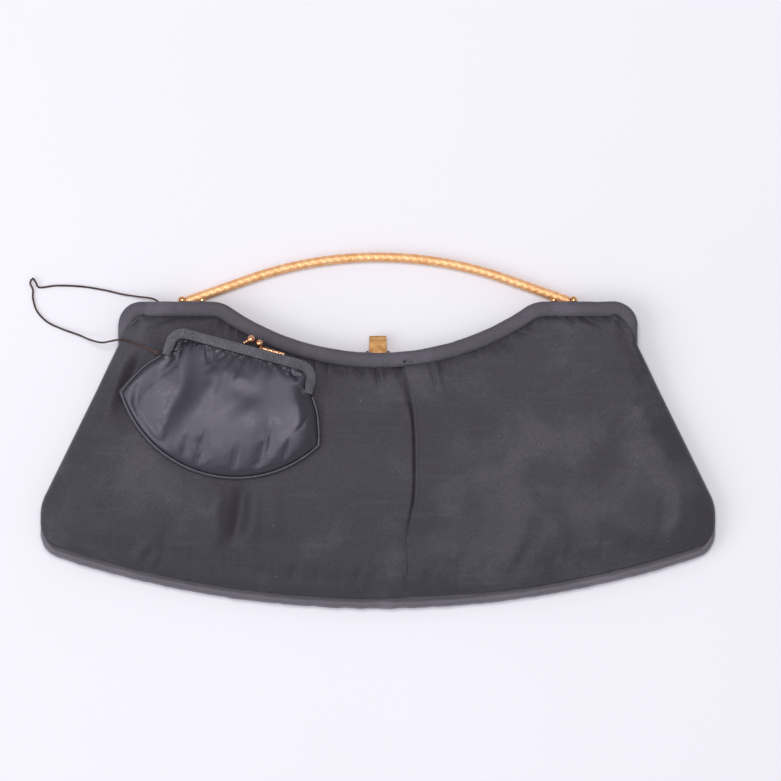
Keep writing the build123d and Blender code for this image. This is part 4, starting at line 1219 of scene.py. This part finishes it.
# ---------------------------------------------------------------- what each piece stands for and moves with
def dress(obj, material, body=None, stands_for=(), thick=0.0):
    """Gives a piece its material, attaches it to its body, hides the CAD nodes it stands for and, if it is a
    sheet, gives it thickness.
    """
    obj.data.materials.clear()
    obj.data.materials.append(material)
    if body:
        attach(obj, body)
    if stands_for:
        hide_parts(*stands_for)
    if thick:
        shell = obj.modifiers.new("thickness", "SOLIDIFY")
        shell.thickness = thick * MM
        shell.offset = -1.0  # the thickness goes behind the faces


def mm(*point):
    return tuple(c * MM for c in point)


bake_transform(front_panel)
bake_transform(lining_front)
for web in webs:
    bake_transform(web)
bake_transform(coin_pouch)
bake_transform(coin_lining_front)
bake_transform(cord)

dress(front_panel, bag_satin, stands_for=("front_panel_lower", "front_panel_upper"), thick=0.7)
dress(lining_front, lining_satin, stands_for=("front_interlining",), thick=0.4)
dress(front_band, band_satin_painted_lighter, "front_jaw", ("front_frame_cover",))
dress(back_band, band_satin_painted_lighter, "bag", ("back_frame_cover",))
dress(gusset, gusset_satin_painted_lighter, "bag", ("bottom_gusset",), thick=0.6)
dress(back_fabric, bag_satin, "bag", ("back_panel",), thick=0.6)
dress(lining_back, lining_satin, "bag", ("lining", "back_interlining"), thick=0.4)
dress(pocket, lining_satin, "bag", ("inner_pocket",), thick=0.4)
for web in webs:
    dress(web, lining_satin, thick=0.4)
dress(handle_bar, handle_gilt, "handle", ("handle_bar",))
dress(clasp_tab, clasp_brass, "clasp", ("clasp_tab",))
dress(coin_pouch, coin_satin,
      stands_for=("coin_front_panel_lower", "coin_front_panel_upper"), thick=0.5)
dress(coin_lining_front, lining_satin, thick=0.3)
dress(coin_lining_back, lining_satin, "coin_purse", ("coin_lining",), thick=0.3)
dress(coin_back, coin_satin, "coin_purse", ("coin_back_panel",), thick=0.5)
dress(coin_band_front, coin_grosgrain, "coin_jaw", ("coin_front_cover",))
dress(coin_band_back, coin_grosgrain, "coin_purse", ("coin_back_cover",))
dress(coin_seam, coin_satin, "coin_purse", ("coin_seam",))
dress(kiss_front, kiss_gilt, "coin_jaw", ("kiss_lock_front",))
dress(kiss_back, kiss_gilt, "coin_purse", ("kiss_lock_back",))
dress(rail, kiss_gilt, "coin_purse")
dress(cord, cord_thread, stands_for=("tether_cord", "tether_cord_purse_end", "cord_knot"))

shown_as_built = {
    steel_grey: ("back_frame", "front_frame", "frame_rivets",
                 "coin_back_frame", "coin_front_frame", "coin_rivets"),
    paper_cord: ("back_paper_cord", "front_paper_cord"),
    pin_gilt: ("handle_pins", "handle_brackets", "bracket_rivets"),
    dark_brass: ("clasp_bracket",),
    clasp_brass: ("clasp_pin", "clasp_catch"),
    cord_thread: ("cord_anchor",),
}
for material, names in shown_as_built.items():
    for name in names:
        nodes[name].data.materials.clear()
        nodes[name].data.materials.append(material)


# ---------------------------------------------------------------- floor, light and camera
scene = bpy.context.scene
scene.view_settings.view_transform = "Standard"

floor_paint = Paint("floor")
cloudy = floor_paint.noise(220.0, 3.0, 0.5)
floor_colour = floor_paint.mix(cloudy, linear((232, 230, 236)), linear((238, 236, 243)))
floor_paint.set(Base_Color=floor_colour, Roughness=0.9, Specular_IOR_Level=0.1)
see_through = floor_paint.node("ShaderNodeBsdfTransparent")
either = floor_paint.node("ShaderNodeMixShader")
path = floor_paint.node("ShaderNodeLightPath")
grazed = floor_paint.math("LESS_THAN", path.outputs["Ray Length"], 2.5 * MM)
below = floor_paint.node("ShaderNodeNewGeometry").outputs["Backfacing"]
floor_paint.link(floor_paint.math("MAXIMUM", grazed, below), either.inputs[0])
floor_paint.link(floor_paint.shader.outputs[0], either.inputs[1])
floor_paint.link(see_through.outputs[0], either.inputs[2])
floor_paint.link(either.outputs[0], floor_paint.tree.nodes["Material Output"].inputs["Surface"])
reach = 3.0
floor_mesh = bpy.data.meshes.new("floor")
floor_corners = [(-reach, -reach, 0), (reach, -reach, 0), (reach, reach, 0), (-reach, reach, 0)]
floor_mesh.from_pydata(floor_corners, [], [(0, 1, 2, 3)])
floor = bpy.data.objects.new("floor", floor_mesh)
floor.location.z = -0.0001
floor.data.materials.append(floor_paint.material)
scene.collection.objects.link(floor)


def soft_light(name, place, aim, size, power, colour):
    lamp = bpy.data.lights.new(name, "AREA")
    lamp.size = size
    lamp.energy = power
    lamp.color = colour
    obj = bpy.data.objects.new(name, lamp)
    obj.location = place
    obj.rotation_euler = (Vector(aim) - Vector(place)).to_track_quat("-Z", "Y").to_euler()
    scene.collection.objects.link(obj)


soft_light("key", (0.0, 0.38, 2.3), (0, 0, 0), 0.75, 27, (1.0, 0.985, 0.97))
soft_light("fill", (-1.5, -0.4, 1.4), (0, 0, 0), 1.5, 16, (0.96, 0.98, 1.0))
world = bpy.data.worlds.new("studio")
world.use_nodes = True
world.node_tree.nodes["Background"].inputs["Color"].default_value = (0.93, 0.94, 1.0, 1)
world.node_tree.nodes["Background"].inputs["Strength"].default_value = 0.46
scene.world = world

lens = bpy.data.cameras.new("camera")
lens.sensor_width = 36.0
picture_width = 348.0
distance = 2000.0
lens.lens = lens.sensor_width * distance / picture_width
camera = bpy.data.objects.new("camera", lens)
camera.location = mm(5.6, 28.7, distance)
scene.collection.objects.link(camera)
scene.camera = camera
